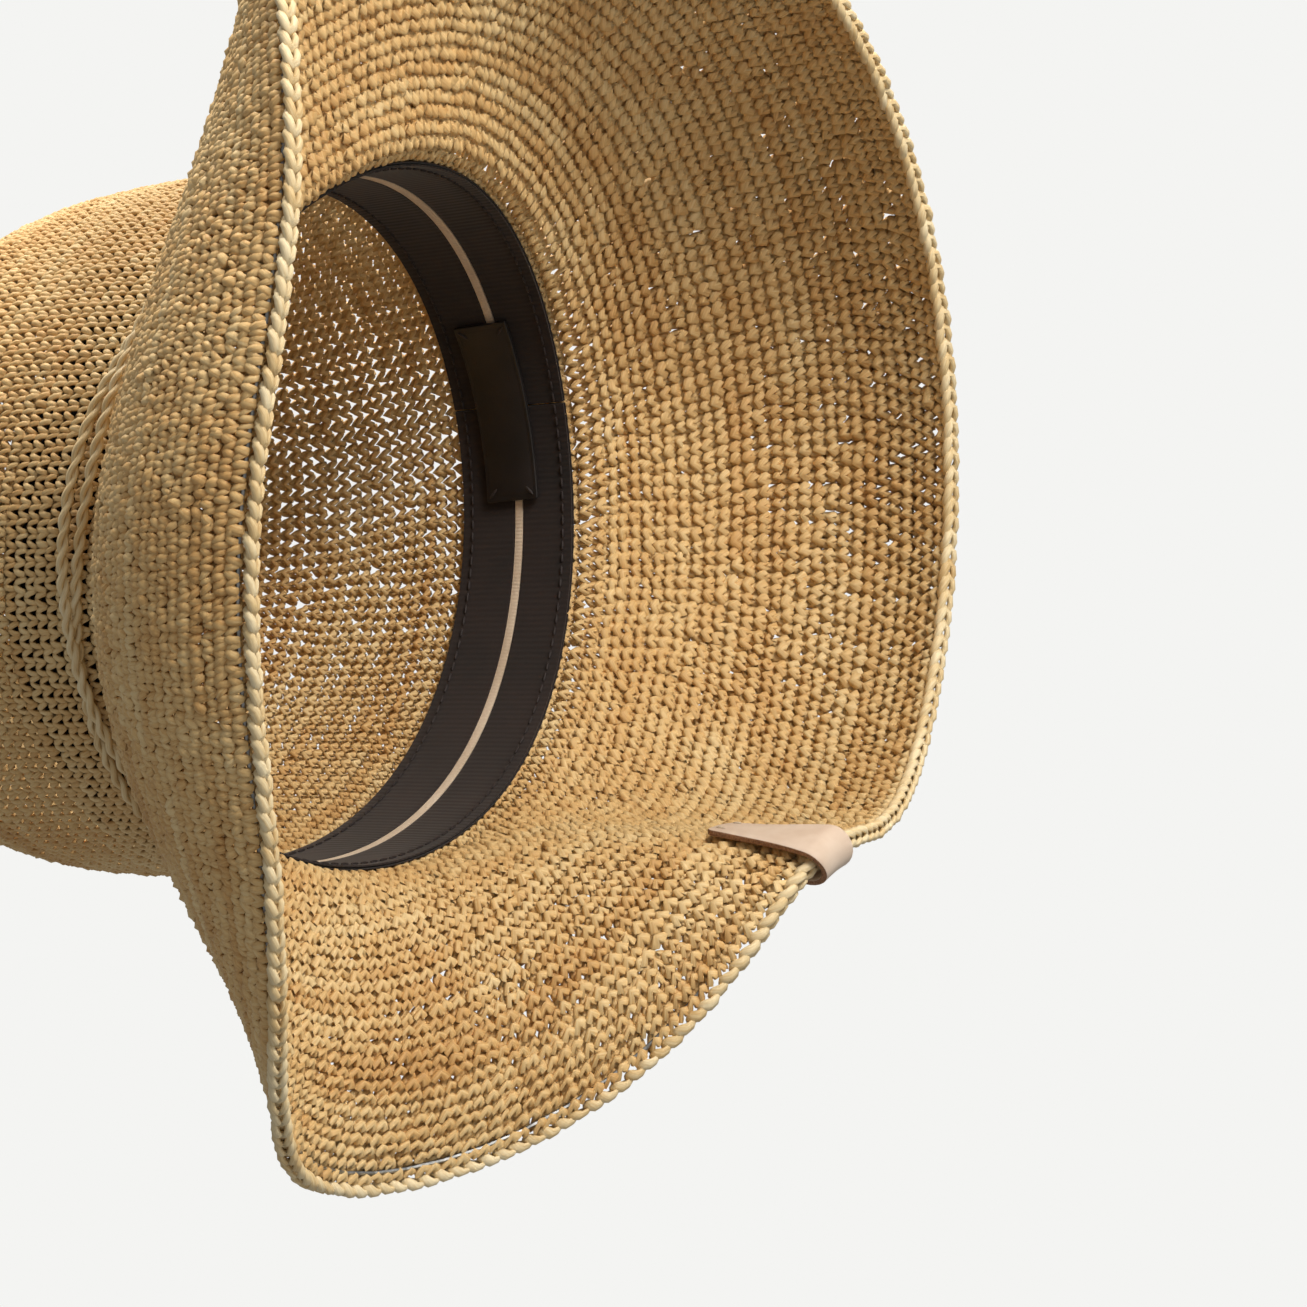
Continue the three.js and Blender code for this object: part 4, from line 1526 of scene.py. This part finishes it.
@dataclass
class Studio:
    """Floor, soft lights and the camera below the brim, looking up into the crown."""

    azimuth: float = 17.0
    elevation: float = -32.5
    roll: float = -92.3
    distance: float = 1.5
    lens: float = 173.9
    aim_right: float = 65.3 * MM
    aim_up: float = -32.8 * MM
    floor_height: float = -1.2

    def axes(self) -> tuple[Vector, Vector, Vector]:
        """Works out which way the camera is turned.

        Returns:
            The camera's right, up and backward directions.
        """
        az, el, roll = (math.radians(a) for a in (self.azimuth, self.elevation, self.roll))
        back = Vector((math.sin(az) * math.cos(el), -math.cos(az) * math.cos(el), math.sin(el)))
        right = Vector((math.cos(az), math.sin(az), 0.0))
        up = back.cross(right)
        turned_right = right * math.cos(roll) + up * math.sin(roll)
        turned_up = -right * math.sin(roll) + up * math.cos(roll)
        return turned_right, turned_up, back

    def set_camera(self) -> None:
        """Places the camera."""
        right, up, back = self.axes()
        data = bpy.data.cameras.new("camera")
        data.sensor_width = 36.0
        data.lens = self.lens
        data.clip_end = 20.0
        camera = bpy.data.objects.new("camera", data)
        centre = right * self.aim_right + up * self.aim_up + back * self.distance
        turn = Matrix((right, up, back)).transposed().to_4x4()
        camera.matrix_world = Matrix.Translation(centre) @ turn
        bpy.context.scene.collection.objects.link(camera)
        bpy.context.scene.camera = camera

    def add_light(self, name: str, direction: Vector, size: float, power: float, colour: str) -> None:
        """Adds a square soft light that faces the hat.

        Args:
            name: its name.
            direction: where it stands from the hat.
            size: length of its side.
            power: watts.
            colour: sRGB hex colour.
        """
        data = bpy.data.lights.new(name, "AREA")
        data.size = size
        data.energy = power
        data.color = linear(colour)[:3]
        light = bpy.data.objects.new(name, data)
        spot = direction.normalized() * 1.6
        light.matrix_world = Matrix.Translation(spot) @ direction.to_track_quat("Z", "Y").to_matrix().to_4x4()
        bpy.context.scene.collection.objects.link(light)

    def build(self) -> None:
        """Sets the camera, world, lights and floor."""
        self.set_camera()
        right, up, back = self.axes()
        self.add_light("key", up - right * 0.1 - back * 0.2, 0.9, 36.0, "#fff6ea")
        self.add_light("front", back * 0.7 + up * 0.72 + right * 0.62, 0.7, 54.0, "#fff8ee")
        world = bpy.data.worlds.new("studio")
        bpy.context.scene.world = world
        world.use_nodes = True
        tree = world.node_tree
        ground = tree.nodes["Background"]
        ground.inputs["Color"].default_value = linear("#f4f4f2")
        seen = add_node(tree, "ShaderNodeLightPath").outputs["Is Camera Ray"]
        strength = add_node(
            tree, "ShaderNodeMapRange", inputs={"Value": seen, "To Min": 0.32, "To Max": 1.0}
        ).outputs["Result"]
        tree.links.new(strength, ground.inputs["Strength"])
        bpy.context.scene.view_settings.view_transform = "Standard"
        bpy.context.scene.view_settings.look = "None"
        work = bmesh.new()
        bmesh.ops.create_grid(work, x_segments=1, y_segments=1, size=4.0)
        bmesh.ops.translate(work, verts=work.verts[:], vec=(0.0, 0.0, self.floor_height))
        floor = object_from("floor", work)
        floor.data.materials.append(Plaster().make())


# ---- Putting it together ------------------------------------------------------------------------

HAT_RAFFIA = Raffia("crocheted raffia", "#a97b42", "#cda165", "#dbb87f", "#e9d1a0", tone_share=0.08)
CORD_RAFFIA = Raffia("twisted raffia", "#b08a54", "#cfae78", "#dfc594", "#efdfba", tone_share=0.2)
BAND_CLOTH = Cloth("ribbed cotton", "#120b0a", "#251815")
LACE_COTTON = Cloth("cotton lace", "#bda68c", "#e0cfba", rib=0.5 * MM, bump=0.5)
LABEL_HIDE = Leather("dyed cowhide", "#110e0e", "#1d1818", bump=0.3, roughness=0.48)
TAB_HIDE = Leather("natural cowhide", "#cdb6a2", "#dfcdbd", grain=0.5 * MM, bump=0.12, roughness=0.5)
RAW_EDGE = FineGrained("cut leather edge", "#6f4a33", "#a97f5f", 2200.0, 4.0, 0.6, 0.15 * MM, 0.85)
BAND_THREAD = FineGrained("dark linen thread", "#181212", "#332828", 2600.0, 2.0, 0.5, 0.1 * MM, 0.6)
TAB_THREAD = FineGrained("pale linen thread", "#b9a58e", "#dccdb8", 2600.0, 2.0, 0.5, 0.1 * MM, 0.6)
STEEL = FineGrained("drawn steel wire", "#7d8082", "#a7a9ab", 700.0, 3.0, 0.0, 0.0, 0.38, 1.0)


def dress_wire(steel: bpy.types.Material) -> None:
    """Gives the edge wire and its sleeve their steel.

    Args:
        steel: the steel.
    """
    for node in ("brim_wire", "wire_join_sleeve"):
        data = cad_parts[node].data
        data.materials.clear()
        data.materials.append(steel)


def main() -> None:
    """Builds every sub-assembly in order."""
    logging.basicConfig(level=logging.INFO, format="%(name)s: %(message)s")
    Studio().build()
    shape = HatShape.from_frame()
    fabric = Fabric(shape)
    cord = CORD_RAFFIA.make()
    thread = BAND_THREAD.make()
    Crochet(fabric, HAT_RAFFIA.make()).build()
    EdgeBraid(fabric, cord).build()
    HatBand(shape, cord).build()
    Sweatband(shape, BAND_CLOTH.make(), LACE_COTTON.make(), thread, LABEL_HIDE.make()).build()
    EdgeTab(fabric, TAB_HIDE.make(), RAW_EDGE.make(), TAB_THREAD.make()).build()
    dress_wire(STEEL.make())


if __name__ == "__main__":
    main()
